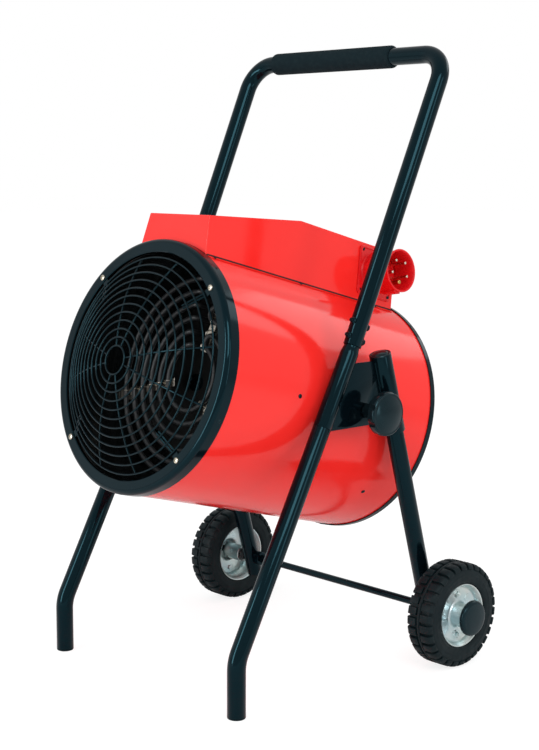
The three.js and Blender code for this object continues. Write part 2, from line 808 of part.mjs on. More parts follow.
// ---------------------------------------------------------------- wire guards
// Drawn with the rim plane at distance 0, bulging towards -Y.
function wireGuard(ringCount, spokeAngles, rise) {
  const wire = wireDiameter / 2;
  const sphere = (guardOuterRadius ** 2 + rise ** 2) / (2 * rise);
  const bulge = (radius) => sphere - Math.sqrt(sphere ** 2 - radius ** 2) - rise;
  const pitch = (guardOuterRadius - guardHubRadius) / (ringCount - 1);
  const wires = [];
  for (let i = 0; i < ringCount; i += 1) {
    const radius = guardHubRadius + i * pitch;
    const segments = radius < guardOuterRadius / 2 ? 14 : 20;
    const ring = new THREE.TorusGeometry(radius, wire, 4, segments);
    ring.rotateX(Math.PI / 2);
    ring.translate(0, bulge(radius), 0);
    wires.push(solid(ring));
  }
  const spoke = (angle, innerRadius, aside) => {
    const stations = [];
    const steps = innerRadius > guardHubRadius ? 1 : 3;
    for (let step = 0; step <= steps; step += 1) {
      const radius = innerRadius + (guardOuterRadius - innerRadius) * step / steps;
      const slope = radius / Math.sqrt(sphere ** 2 - radius ** 2);
      const heading = point(Math.sin(angle), slope, Math.cos(angle)).normalize();
      const place = point(radius * Math.sin(angle), bulge(radius) + wire * spokeOffset, radius * Math.cos(angle));
      place.addScaledVector(point(Math.cos(angle), 0, -Math.sin(angle)), aside);
      stations.push({ place, heading });
    }
    return swept(stations, wire, 0, 4);
  };
  for (const degrees of spokeAngles) {
    wires.push(spoke(degrees * Math.PI / 180, guardHubRadius, 0));
  }
  for (const angle of [screwAngle, Math.PI - screwAngle, Math.PI + screwAngle, -screwAngle]) {
    for (const way of [1, -1]) {
      wires.push(spoke(angle, guardOuterRadius - hairpinReach, way * hairpinSpacing / 2));
    }
  }
  return wires;
}

function guardEyelets() {
  const eyelets = [];
  const start = ringSheet + seatGap;
  for (const { place } of ringScrewPlaces(0)) {
    const out = point(place.x, 0, place.z).normalize();
    const inner = out.clone().multiplyScalar(guardOuterRadius - eyeletLap);
    const outer = point(place.x, 0, place.z);
    const length = outer.distanceTo(inner);
    const strip = block(length, eyeletThickness, eyeletWidth, point(length / 2, start + eyeletThickness / 2, 0));
    const lug = rod(point(length, start, 0), point(length, start + eyeletThickness, 0), eyeletWidth / 2);
    eyelets.push(oriented(join(strip, lug), out, along, out.clone().cross(along), inner));
  }
  return eyelets;
}

function guard(ringCount, spokeAngles, rise) {
  return join(...wireGuard(ringCount, spokeAngles, rise), ...guardEyelets());
}
const frontGuard = cut(guard(frontGuardRings, frontGuardSpokes, frontGuardRise), ...screwHoles(0));
const rearGuard = guard(rearGuardRings, rearGuardSpokes, rearGuardRise);
addPiece(drum, 'front_guard', frontGuard.transform(toFront.elements), looks.blackPaint());
addPiece(drum, 'rear_guard', rearGuard.transform(toRear.elements), looks.blackPaint());

for (const { label, place } of ringScrewPlaces(drumFront)) {
  const at = (distance) => place.clone().add(point(0, distance, 0));
  const head = rod(at(-seatGap), at(-seatGap - screwHeadHeight), screwHead / 2, smallSides, screwHead * 0.3);
  const shank = rod(at(-seatGap - 1), at(screwLength), screwDiameter / 2, smallSides);
  addPiece(drum, `guard_screw_${label}`, join(head, shank), looks.brightMetal());
}

// ---------------------------------------------------------------- pivot studs
for (const { label, sign } of sides) {
  const plateFace = sideX - plateThickness / 2 - seatGap;
  const at = (x) => point(sign * x, 0, 0);
  const boss = cut(rod(at(drumRadius - 12), at(plateFace), bossDiameter / 2), drumCylinder(drumRadius + seatGap));
  const headStart = shellInner - studHeadThickness - 2;
  const headDisc = rod(at(headStart), at(drumRadius), studHeadDiameter / 2);
  const head = headDisc.intersect(drumCylinder(shellInner - seatGap));
  const shank = rod(at(headStart + 1), at(knob.boreEnd - 1), studDiameter / 2);
  addPiece(drum, `pivot_stud_${label}`, join(boss, head, shank), looks.darkSteel());
}

// ---------------------------------------------------------------- heat shield
const linerStart = drumFront + linerFront;
const linerEnd = linerStart + linerLength;
const linerOuterRadius = linerInnerRadius + linerWall;
addPiece(drum, 'heat_shield', turned([
  [linerInnerRadius, linerStart],
  [linerOuterRadius, linerStart],
  [linerOuterRadius, linerEnd - linerWall],
  [shellInner - seatGap, linerEnd - linerWall],
  [shellInner - seatGap, linerEnd],
  [linerInnerRadius, linerEnd],
]), looks.blackPaint());

// ---------------------------------------------------------------- heating elements
const elementPlane = drumFront + elementDepth;

function heatingElement(number) {
  const outer = elementOuterRadius - number * elementPitch;
  const inner = outer - elementTurnGap;
  const turnRadius = elementTurnGap / 2;
  const spot = (radius, angle, depth = 0) => (
    point(radius * Math.sin(angle), elementPlane + depth, radius * Math.cos(angle))
  );
  const circling = (angle, way) => point(way * Math.cos(angle), 0, -way * Math.sin(angle));
  const gap = 1.6 * elementDiameter / inner;
  const first = -gap;
  const last = gap - 2 * Math.PI;
  const stations = [];
  const tailBend = elementDiameter;
  const steps = Math.round(12 + outer / 25);
  stations.push({ place: spot(outer, first, elementTail), heading: point(0, -1, 0) });
  stations.push({ place: spot(outer, first, tailBend), heading: point(0, -1, 0) });
  const outerStart = first - tailBend / outer;
  const middleHeading = point(0, -1, 0).add(circling(first, -1)).normalize();
  const cornerShare = 1 - Math.SQRT1_2;
  const cornerSpot = spot(outer, first - cornerShare * tailBend / outer, cornerShare * tailBend);
  stations.push({ place: cornerSpot, heading: middleHeading });
  const outerEnd = last + turnRadius / inner;
  for (let step = 0; step <= steps; step += 1) {
    const angle = outerStart + (outerEnd - outerStart) * step / steps;
    stations.push({ place: spot(outer, angle), heading: circling(angle, -1) });
  }
  const centre = spot((outer + inner) / 2, outerEnd);
  const outwards = point(Math.sin(outerEnd), 0, Math.cos(outerEnd));
  for (let step = 1; step < 4; step += 1) {
    const swing = Math.PI * step / 4;
    const heading = circling(outerEnd, -1).multiplyScalar(Math.cos(swing));
    heading.addScaledVector(outwards, -Math.sin(swing));
    const place = centre.clone().addScaledVector(outwards, turnRadius * Math.cos(swing));
    place.addScaledVector(circling(outerEnd, -1), turnRadius * Math.sin(swing));
    stations.push({ place, heading });
  }
  const innerStop = first - tailBend / inner;
  for (let step = 0; step <= steps; step += 1) {
    const angle = outerEnd + (innerStop - outerEnd) * step / steps;
    stations.push({ place: spot(inner, angle), heading: circling(angle, 1) });
  }
  const returnHeading = point(0, 1, 0).add(circling(first, 1)).normalize();
  const returnSpot = spot(inner, first - cornerShare * tailBend / inner, cornerShare * tailBend);
  stations.push({ place: returnSpot, heading: returnHeading });
  stations.push({ place: spot(inner, first, tailBend), heading: point(0, 1, 0) });
  stations.push({ place: spot(inner, first, elementTail), heading: point(0, 1, 0) });
  return swept(stations, elementDiameter / 2, 0, 5);
}
const elementNames = ['outer', 'middle', 'inner', 'core'];
for (let i = 0; i < elementCount; i += 1) {
  addPiece(drum, `heating_element_${elementNames[i]}`, heatingElement(i), looks.darkSteel());
}

// ---------------------------------------------------------------- element brackets
const bracketStart = elementPlane + elementDiameter / 2 + seatGap;
for (let i = 0; i < bracketCount; i += 1) {
  const angle = bracketFirstAngle + 2 * Math.PI * i / bracketCount;
  const out = point(Math.sin(angle), 0, Math.cos(angle));
  const length = linerInnerRadius - bracketInner + 10;
  const bar = block(length, bracketSheet, bracketWidth, point(bracketInner + length / 2, bracketStart + bracketSheet / 2, 0));
  const footCentre = point(linerInnerRadius, bracketStart + bracketFoot / 2, 0);
  const foot = block(8, bracketFoot, bracketWidth, footCentre);
  const whole = oriented(join(bar, foot), out, along, out.clone().cross(along), point(0, 0, 0));
  const inside = whole.intersect(drumCylinder(linerInnerRadius - seatGap));
  addPiece(drum, `element_bracket_${i + 1}`, inside, looks.zinc());
}

// ---------------------------------------------------------------- motor, its mount and the fan
const fanPlace = drumFront + fanMiddle;
const motorStart = fanPlace + fanHubLength / 2 + runningGap * 4;
const motorEnd = motorStart + motorLength;
const motorRadius = motorDiameter / 2;
addPiece(drum, 'fan_motor', turned([
  [0, fanPlace - fanHubLength / 2 + 2],
  [motorShaftDiameter / 2, fanPlace - fanHubLength / 2 + 2],
  [motorShaftDiameter / 2, motorStart - 2],
  [motorRadius * 0.35, motorStart - 2],
  [motorRadius * 0.35, motorStart],
  [motorRadius - 4, motorStart],
  [motorRadius, motorStart + 4],
  [motorRadius, motorEnd - 6],
  [motorRadius - 6, motorEnd],
  [0, motorEnd],
], motorSides), looks.motorGrey());

const mountStart = motorStart + motorMountPlace;
const mountRing = turned([
  [motorRadius + slideFit, mountStart],
  [motorRadius + motorMountRing, mountStart],
  [motorRadius + motorMountRing, mountStart + motorMountThickness],
  [motorRadius + slideFit, mountStart + motorMountThickness],
], motorSides);
const armLength = 2 * drumRadius;
const armCentre = point(0, mountStart + motorMountThickness / 2, 0);
const arms = join(
  block(armLength, motorMountThickness, motorMountArm, armCentre),
  block(motorMountArm, motorMountThickness, armLength, armCentre),
).rotate([0, 45, 0]);
const motorPassage = turned([
  [0, mountStart - 1],
  [motorRadius + slideFit, mountStart - 1],
  [motorRadius + slideFit, mountStart + motorMountThickness + 1],
  [0, mountStart + motorMountThickness + 1],
], motorSides);
const mountBody = cut(join(arms, mountRing), motorPassage).intersect(drumCylinder(shellInner - seatGap));
addPiece(drum, 'motor_mount', mountBody, looks.zinc());

function fan() {
  const hubRadius = fanHubDiameter / 2;
  const half = fanHubLength / 2;
  let body = turned([
    [0, -half],
    [hubRadius - 6, -half],
    [hubRadius, -half + 6],
    [hubRadius, half],
    [0, half],
  ], 24);
  const tip = fanDiameter / 2;
  const outline = [
    [hubRadius - 6, -18],
    [hubRadius + 30, -36],
    [tip - 12, -50],
    [tip - 2, -36],
    [tip - 2, 26],
    [tip - 16, 40],
    [hubRadius + 30, 28],
    [hubRadius - 6, 16],
  ];
  for (let i = 0; i < fanBlades; i += 1) {
    const angle = 2 * Math.PI * i / fanBlades;
    const out = point(Math.sin(angle), 0, Math.cos(angle));
    const chord = out.clone().cross(along).applyAxisAngle(out, fanPitch);
    const blade = extruded(outline, fanBladeSheet);
    body = join(body, oriented(blade, out, chord, out.clone().cross(chord), point(0, 0, 0)));
  }
  const bore = rod(point(0, -half - 1, 0), point(0, half + 1, 0), motorShaftDiameter / 2 + slideFit, 24);
  return cut(body.intersect(turned([[0, -60], [tip, -60], [tip, 60], [0, 60]])), bore);
}
const fanMesh = addPiece(drum, 'fan', fan(), looks.blackPlastic());
fanMesh.position.y = fanPlace;

// ---------------------------------------------------------------- control box
const boxSideX = (height) => boxBaseHalfWidth - (height - boxBaseHeight) * Math.tan(boxSplay);

// Wedge-topped box between its two splayed sides, grown or shrunk by an inset.
function boxBody(inset, rearInset) {
  const front = drumFront + boxFront + inset;
  const rear = drumFront + boxRear - rearInset;
  const apex = drumFront + boxApex;
  const foot = drumRadius * 0.8 - (inset > 0 ? 10 : 0);
  const side = [
    [front, foot],
    [rear, foot],
    [rear, boxHeight - inset],
    [apex, boxHeight - inset],
    [front, boxFrontHeight - inset],
  ];
  const width = 2 * boxBaseHalfWidth + 60;
  const wedge = oriented(extruded(side, width), along, upright, sideways, point(-width / 2, 0, 0));
  const low = foot - 5;
  const high = boxHeight + 20;
  const trim = inset / Math.cos(boxSplay);
  const section = [
    [-boxSideX(low) + trim, low],
    [boxSideX(low) - trim, low],
    [boxSideX(high) - trim, high],
    [-boxSideX(high) + trim, high],
  ];
  const length = drumLength + 2 * drumRadius;
  const prism = extruded(section, length);
  const backwards = point(0, -1, 0);
  const placed = oriented(prism, sideways, upright, backwards, point(0, drumRear + drumRadius, 0));
  return wedge.intersect(placed);
}

const inletOut = point(Math.cos(boxSplay), 0, Math.sin(boxSplay));
const inletUp = inletOut.clone().cross(along).normalize();
const inletFace = point(boxSideX(inletHeight), drumFront + inletPlace, inletHeight);
const inletAt = (distance) => inletFace.clone().addScaledVector(inletOut, distance);

const skirtSpace = drumCylinder(ringOuter + seatGap, drumFront - drumRadius, drumFront + frontSkirt + seatGap);
const boxOuter = cut(boxBody(0, 0), drumCylinder(drumRadius + seatGap), skirtSpace);
const boxInner = boxBody(boxSheet, -20);
const inletWindow = rod(inletAt(-10), inletAt(10), shroudDiameter / 2 - shroudWall + slideFit, 24);
addPiece(drum, 'control_box', cut(boxOuter, boxInner, inletWindow), looks.redPaint());

const panelFace = drumFront + boxRear - panelInset;
const slabSize = 2 * drumRadius;
const panelSlab = block(slabSize, panelThickness, slabSize, point(0, panelFace - panelThickness / 2, boxHeight));
const controls = [
  { name: 'selector_knob', x: -dialSpacing / 2 },
  { name: 'thermostat_knob', x: dialSpacing / 2 },
];
const smallControlHeight = controlHeight - dialDiameter / 2 - lampDiameter;
const panelPoint = (x, height, distance) => point(x, panelFace + distance, height);
const panelHole = (x, height, radius) => (
  rod(panelPoint(x, height, -10), panelPoint(x, height, 10), radius + slideFit, 12)
);
const lampX = -14;
const resetX = 14;
const panelPlate = cut(
  panelSlab.intersect(boxBody(boxSheet + seatGap, -20)),
  drumCylinder(drumRadius + seatGap),
  ...controls.map(({ x }) => panelHole(x, controlHeight, dialShaftDiameter / 2)),
  panelHole(lampX, smallControlHeight, lampDiameter / 2 - 2),
  panelHole(resetX, smallControlHeight, resetDiameter / 2),
);
addPiece(drum, 'control_panel', panelPlate, looks.blackPlastic());

function dial() {
  const radius = dialDiameter / 2;
  const body = turned([
    [0, -dialShaftLength],
    [dialShaftDiameter / 2, -dialShaftLength],
    [dialShaftDiameter / 2, seatGap],
    [radius, seatGap],
    [radius, dialSkirt],
    [radius * 0.72, dialSkirt + 1],
    [radius * 0.6, dialHeight],
    [0, dialHeight],
  ], roundSides);
  const grip = block(radius * 0.36, dialHeight - dialSkirt, radius * 1.8, point(0, (dialHeight + dialSkirt) / 2, 0));
  return join(body, grip);
}
for (const { name, x } of controls) {
  const mesh = addPiece(drum, name, dial(), looks.blackPlastic());
  mesh.position.copy(panelPoint(x, controlHeight, 0));
}

const lamp = turned([
  [0, -8],
  [lampDiameter / 2 - 2, -8],
  [lampDiameter / 2 - 2, seatGap],
  [lampDiameter / 2, seatGap],
  [lampDiameter / 2, lampHeight - 1.5],
  [lampDiameter / 2 - 2, lampHeight],
  [0, lampHeight],
], 16);
addPiece(drum, 'power_lamp', lamp, looks.lampAmber()).position.copy(panelPoint(lampX, smallControlHeight, 0));

const reset = turned([
  [0, -resetPlunger],
  [resetDiameter / 2, -resetPlunger],
  [resetDiameter / 2, resetHeight - 1],
  [resetDiameter / 2 - 1, resetHeight],
  [0, resetHeight],
], 16);
addPiece(drum, 'reset_button', reset, looks.redPlastic()).position.copy(panelPoint(resetX, smallControlHeight, 0));

// ---------------------------------------------------------------- mains inlet
// Drawn with Y pointing out of the box and Z towards the top of the box.
const shroudRadius = shroudDiameter / 2;
const shroudBore = shroudRadius - shroudWall;
const carrierRadius = shroudBore - slideFit;
const inletTop = flangeThickness + shroudLength;
const floorAt = flangeThickness + socketFloor;
const earthAngle = Math.PI;

function roundedSquare(size, corner) {
  const outline = [];
  for (let quarter = 0; quarter < 4; quarter += 1) {
    for (let step = 0; step <= 2; step += 1) {
      const angle = Math.PI / 2 * (quarter + step / 2);
      const way = Math.PI / 2 * quarter + Math.PI / 4;
      const reach = (size / 2 - corner) * Math.SQRT2;
      const x = reach * Math.cos(way) + corner * Math.cos(angle);
      const y = reach * Math.sin(way) + corner * Math.sin(angle);
      outline.push([x, y]);
    }
  }
  return outline;
}

const flangePlate = oriented(
  extruded(roundedSquare(flangeSize, flangeCorner), flangeThickness),
  point(1, 0, 0), point(0, 0, -1), point(0, 1, 0), point(0, seatGap, 0),
);
const lipStart = inletTop - shroudLip;
const mouthRadius = shroudRadius + shroudFlare;
const shroudLine = rod(point(0, seatGap, 0), point(0, inletTop, 0), shroudRadius, 24);
const shroudMouth = rod(point(0, lipStart, 0), point(0, inletTop, 0), shroudRadius, 24, mouthRadius);
const shroudTube = join(shroudLine, shroudMouth);
const keyPlace = point(0, inletTop - keyLength / 2 - shroudLip / 2, -shroudRadius - keyHeight / 2 + 3);
const key = block(keyWidth, keyLength, keyHeight + 6, keyPlace);
const recessMouth = rod(point(0, lipStart, 0), point(0, inletTop, 0), shroudBore, 24, shroudBore + shroudFlare);
const recess = join(rod(point(0, -20, 0), point(0, inletTop + 1, 0), shroudBore, 24), recessMouth);
const housing = cut(join(flangePlate, shroudTube, key), recess);

const pinPlaces = [0, 1, 2, 3, 4].map((number) => {
  const angle = earthAngle + 2 * Math.PI * number / 5;
  const radius = number === 0 ? earthPinDiameter / 2 : pinDiameter / 2;
  return { x: pinCircle / 2 * Math.sin(angle), z: pinCircle / 2 * Math.cos(angle), radius };
});
const carrier = rod(point(0, floorAt - pinCarrierThickness, 0), point(0, floorAt, 0), carrierRadius, 24);
const pins = pinPlaces.map(({ x, z, radius }) => {
  const tip = inletTop - pinRecess;
  const shaft = rod(point(x, floorAt - 1, z), point(x, tip - 2, z), radius, smallSides);
  const nose = rod(point(x, tip - 2.5, z), point(x, tip, z), radius, smallSides, radius * 0.55);
  return join(shaft, nose);
});

const inlet = new THREE.Group();
inlet.position.copy(inletFace);
const inletFrame = new THREE.Matrix4().makeBasis(inletOut.clone().cross(inletUp), inletOut, inletUp);
inlet.setRotationFromMatrix(inletFrame);
drum.add(inlet);
addPiece(inlet, 'inlet_housing', housing, looks.redPlastic());
addPiece(inlet, 'inlet_pins', join(carrier, ...pins), looks.brightMetal());

// The origin lies on the floor under the middle of the heater.
heater.updateMatrixWorld(true);
const extent = new THREE.Box3().setFromObject(heater, true);
heater.position.y = -(extent.min.y + extent.max.y) / 2;

export default heater;
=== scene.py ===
# %% [markdown]
# # A forced air heater on a two-wheeled stand
# The heater is a red drum with a fan and heating rods inside, hung between two tube frames so that it can
# tilt. This lesson dresses it piece by piece. The solids that carry and move things are loaded first and
# are never touched; every visible piece is then modelled with the operators that a person would use by
# hand, and stands where its solid stands.

# %% Load the frame
import json
import math
import bpy
from mathutils import Matrix, Vector


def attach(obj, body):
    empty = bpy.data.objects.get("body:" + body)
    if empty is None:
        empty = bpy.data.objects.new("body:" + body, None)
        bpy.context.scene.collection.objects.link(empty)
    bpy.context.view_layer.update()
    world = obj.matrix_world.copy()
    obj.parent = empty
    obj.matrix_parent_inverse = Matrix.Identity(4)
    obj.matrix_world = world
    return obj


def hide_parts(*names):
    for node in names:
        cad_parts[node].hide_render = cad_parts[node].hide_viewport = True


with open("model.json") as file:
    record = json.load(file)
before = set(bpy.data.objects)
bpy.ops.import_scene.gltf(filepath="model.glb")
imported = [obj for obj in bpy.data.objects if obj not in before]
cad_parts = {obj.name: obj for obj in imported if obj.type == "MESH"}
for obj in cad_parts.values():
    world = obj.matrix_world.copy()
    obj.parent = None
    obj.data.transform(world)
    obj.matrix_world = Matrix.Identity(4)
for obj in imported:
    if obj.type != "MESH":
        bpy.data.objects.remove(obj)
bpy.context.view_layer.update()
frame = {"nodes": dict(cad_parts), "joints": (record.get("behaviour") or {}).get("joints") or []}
print("frame loaded:", len(frame["nodes"]), "solids")

# %% [markdown]
# ## Where things are
# The drum turns about a line through its two side studs, and everything on it is easier to model level and
# then to tip by the same fifteen degrees. So the pivot and the drum's own directions are read from the
# joints: one points out of the back of the drum along its axis, and one points up through the control box.

# %% Directions and places
joint = {row["name"]: row for row in frame["joints"]}
PIVOT = Vector(joint["drum_tilt"]["pos_m"])
ACROSS = Vector((1, 0, 0))
UPRIGHT = Vector((0, 0, 1))
DRUM_BACK = Vector(joint["fan_spin"]["axis"]).normalized()
DRUM_UP = ACROSS.cross(DRUM_BACK)
DRUM_FRAME = Matrix((ACROSS, DRUM_BACK, DRUM_UP)).transposed().to_4x4()
DRUM_FRAME.translation = PIVOT
SIDES = (("right", 1), ("left", -1))


def drum_box(node):
    """Lowest and highest corner of a solid, measured in the drum's own directions."""
    back = DRUM_FRAME.inverted()
    points = [back @ vertex.co for vertex in frame["nodes"][node].data.vertices]
    low = Vector([min(point[axis] for point in points) for axis in range(3)])
    high = Vector([max(point[axis] for point in points) for axis in range(3)])
    return low, high


print("pivot", tuple(round(value, 4) for value in PIVOT))

# %% [markdown]
# ## The camera
# The photograph was taken from the front right, a little above the drum. Its viewpoint was worked out from
# the round rims and the level feet: the camera's three directions are written out here, and the lens is the
# one that gives the same perspective on a 36 mm frame.

# %% Camera
LENS = 72.1
CAMERA_PLACE = Vector((1.78635, -1.62061, 0.79944))
CAMERA_RIGHT = Vector((0.68144, 0.73186, 0.00290))
CAMERA_UP = Vector((-0.10288, 0.09187, 0.99044))

bpy.ops.object.camera_add()
camera = bpy.context.object
camera.name = "camera"
camera.data.lens = LENS
camera.data.sensor_width = 36
camera.data.clip_end = 50
look_back = CAMERA_RIGHT.cross(CAMERA_UP).normalized()
look_up = look_back.cross(CAMERA_RIGHT).normalized()
facing = Matrix((CAMERA_RIGHT.normalized(), look_up, look_back)).transposed().to_4x4()
camera.matrix_world = Matrix.Translation(CAMERA_PLACE) @ facing
bpy.context.scene.camera = camera
print("camera at", tuple(round(value, 3) for value in CAMERA_PLACE))

# %% [markdown]
# ## Small helpers for modelling
# An operator works on whatever is selected, and the loaded solids start out selected, so every step begins
# by deselecting all. A few short helpers keep the steps below readable: one extrudes, one welds, one
# applies a modifier, and one drills a round hole.


# %% Selection and modifiers
def clear_selection():
    if bpy.context.mode != "OBJECT":
        bpy.ops.object.mode_set(mode="OBJECT")
    bpy.ops.object.select_all(action="DESELECT")


def pick(piece):
    clear_selection()
    piece.select_set(True)
    bpy.context.view_layer.objects.active = piece


def edit_all(piece):
    """Opens a piece in edit mode with everything on it selected."""
    pick(piece)
    bpy.ops.object.mode_set(mode="EDIT")
    bpy.ops.mesh.select_mode(type="VERT")
    bpy.ops.mesh.select_all(action="SELECT")


def leave_edit():
    bpy.ops.object.mode_set(mode="OBJECT")


def extrude_by(step):
    bpy.ops.mesh.extrude_region_move(TRANSFORM_OT_translate={"value": tuple(step)})


def apply_place(piece):
    pick(piece)
    bpy.ops.object.transform_apply(location=True, rotation=True, scale=True)


def modify(piece, kind, **settings):
    pick(piece)
    modifier = piece.modifiers.new(kind.title(), kind)
    for name, value in settings.items():
        setattr(modifier, name, value)
    bpy.ops.object.modifier_apply(modifier=modifier.name)


def soften(piece, width, segments=2, angle=30):
    """Rounds every edge sharper than the angle."""
    modify(piece, "BEVEL", width=width, segments=segments, limit_method="ANGLE",
           angle_limit=math.radians(angle), harden_normals=False)


def weld(piece, distance=1e-6):
    """Merges doubles and turns every face outwards."""
    edit_all(piece)
    bpy.ops.mesh.remove_doubles(threshold=distance)
    bpy.ops.mesh.normals_make_consistent(inside=False)
    leave_edit()


def join(name, *pieces):
    clear_selection()
    for piece in pieces:
        piece.select_set(True)
    bpy.context.view_layer.objects.active = pieces[0]
    if len(pieces) > 1:
        bpy.ops.object.join()
    whole = bpy.context.view_layer.objects.active
    whole.name = name
    return whole


def cut_away(piece, *tools):
    """Takes the tools' shapes out of a piece and deletes the tools."""
    for tool in tools:
        modify(piece, "BOOLEAN", object=tool, operation="DIFFERENCE", solver="EXACT")
        bpy.data.objects.remove(tool)


ALONG_X = (0, math.pi / 2, 0)
ALONG_Y = (math.pi / 2, 0, 0)
DRILL_DEPTH = 0.02


def drill(piece, radius, spot, turn, sides=40):
    """Takes a round hole out of a piece, centred on a spot, along the X or the Y axis."""
    clear_selection()
    bpy.ops.mesh.primitive_cylinder_add(vertices=sides, radius=radius, depth=DRILL_DEPTH, location=spot,
                                        rotation=turn)
    cut_away(piece, bpy.context.object)


def copy_of(piece, name, move=Matrix.Identity(4)):
    """A copy with its own mesh, carried by a move that is then applied."""
    twin = piece.copy()
    twin.data = piece.data.copy()
    twin.name = name
    bpy.context.scene.collection.objects.link(twin)
    twin.matrix_world = move @ piece.matrix_world
    apply_place(twin)
    return twin


def place(piece, move):
    piece.matrix_world = move @ piece.matrix_world
    apply_place(piece)
    return piece


def aimed(point, direction):
    """A move that turns the Y axis to a direction and sets it at a point."""
    turn = Vector((0, 1, 0)).rotation_difference(direction)
    return Matrix.Translation(point) @ turn.to_matrix().to_4x4()


# %% [markdown]
# ## Three ways to make a round thing
# A turned piece, such as a ring or a knob, starts as one vertex that is extruded along half of its outline
# and spun once round the Y axis. A bent tube starts as a circle that is extruded along the straight runs and
# spun round each bend, just as a tube bender feeds and turns it. A flat sheet starts as an outline that is
# filled and extruded to its thickness.


# %% Turned pieces, bent tubes and sheets
def outline_of(corners):
    """One vertex, extruded from corner to corner. Stays in edit mode."""
    clear_selection()
    bpy.ops.mesh.primitive_plane_add(size=0.001)
    piece = bpy.context.object
    bpy.ops.object.mode_set(mode="EDIT")
    bpy.ops.mesh.select_mode(type="VERT")
    bpy.ops.mesh.select_all(action="SELECT")
    bpy.ops.mesh.merge(type="CENTER")
    bpy.ops.transform.translate(value=tuple(corners[0]))
    for before, after in zip(corners, corners[1:]):
        extrude_by(Vector(after) - Vector(before))
    bpy.ops.mesh.select_all(action="SELECT")
    bpy.ops.mesh.remove_doubles(threshold=1e-7)
    bpy.ops.mesh.select_all(action="SELECT")
    return piece


def turned(name, corners, steps=96):
    """Corners of (radius, distance) spun round the Y axis."""
    piece = outline_of([Vector((radius, distance, 0)) for radius, distance in corners])
    piece.name = name
    bpy.ops.mesh.spin(steps=steps, angle=math.tau, center=(0, 0, 0), axis=(0, 1, 0))
    leave_edit()
    weld(piece)
    return piece


def closed(corners):
    return list(corners) + [corners[0]]


def arc(centre, radius, start, end, steps):
    """Points of (radius, distance) along an arc, angles in degrees from the first axis."""
    points = []
    for step in range(steps + 1):
        angle = math.radians(start + (end - start) * step / steps)
        points.append((centre[0] + radius * math.cos(angle), centre[1] + radius * math.sin(angle)))
    return points


def sheet_of(name, corners, thickness):
    """A filled outline in space, extruded by a vector."""
    piece = outline_of(closed(corners))
    piece.name = name
    bpy.ops.mesh.edge_face_add()
    extrude_by(thickness)
    leave_edit()
    weld(piece)
    return piece


class TubeBender:
    """Feeds a round tube forward and swings its end round each bend."""

    def __init__(self, name, start, heading, radius, sides=32):
        clear_selection()
        self.spot = Vector(start)
        self.heading = Vector(heading).normalized()
        turn = UPRIGHT.rotation_difference(self.heading).to_euler()
        bpy.ops.mesh.primitive_circle_add(vertices=sides, radius=radius, location=self.spot, rotation=turn)
        self.piece = bpy.context.object
        self.piece.name = name
        apply_place(self.piece)
        edit_all(self.piece)

    def feed(self, length):
        extrude_by(self.heading * length)
        self.spot = self.spot + self.heading * length
        return self

    def swing(self, centre, axis, angle, steps):
        # The operator turns the other way round from Matrix.Rotation.
        bpy.ops.mesh.spin(steps=steps, angle=-angle, center=tuple(centre), axis=tuple(axis))
        turn = Matrix.Rotation(angle, 3, axis)
        self.spot = Vector(centre) + turn @ (self.spot - Vector(centre))
        self.heading = turn @ self.heading
        return self

    def bend_to(self, following, radius, steps=12):
        following = Vector(following).normalized()
        axis = self.heading.cross(following).normalized()
        centre = self.spot + axis.cross(self.heading) * radius
        return self.swing(centre, axis, self.heading.angle(following), steps)

    def done(self, wall=None):
        """Ends the tube: with a wall thickness it stays open, and without one its ends are filled."""
        if wall is None:
            bpy.ops.mesh.select_all(action="SELECT")
            bpy.ops.mesh.remove_doubles(threshold=1e-7)
            bpy.ops.mesh.select_all(action="DESELECT")
            bpy.ops.mesh.select_non_manifold()
            bpy.ops.mesh.fill_holes(sides=0)
        bpy.ops.mesh.select_all(action="SELECT")
        bpy.ops.mesh.normals_make_consistent(inside=False)
        leave_edit()
        if wall is not None:
            modify(self.piece, "SOLIDIFY", thickness=wall, offset=-1)
        return self.piece


def bent_tube(name, corners, bend_radius, radius, wall=None, sides=32, steps=12):
    """A tube along straight runs between corners, with the same bend at each."""
    runs = [after - before for before, after in zip(corners, corners[1:])]
    reaches = [0]
    for before, after in zip(runs, runs[1:]):
        reaches.append(bend_radius * math.tan(before.angle(after) / 2))
    reaches.append(0)
    tube = TubeBender(name, corners[0], runs[0], radius, sides)
    for index, run in enumerate(runs):
        tube.feed(run.length - reaches[index] - reaches[index + 1])
        if index + 1 < len(runs):
            tube.bend_to(runs[index + 1], bend_radius, steps)
    return tube.done(wall)


print("helpers ready")

# %% [markdown]
# ## Finishes
# Each finish is a Principled shader with touches that a real surface has: the colour drifts a little, fine
# relief breaks up the reflections, and on most of them the gloss isn't quite even. The patterns are read
# from Object coordinates, so they stay on the piece when it moves. Whatever is even all over the surface is
# set on the shader itself.


# %% Building a finish
def colour_of(red, green, blue):
    """A screen colour of 0 to 255, as the linear colour that a shader takes."""
    values = []
    for channel in (red, green, blue):
        share = channel / 255
        values.append(share / 12.92 if share <= 0.04045 else ((share + 0.055) / 1.055) ** 2.4)
    return (*values, 1)


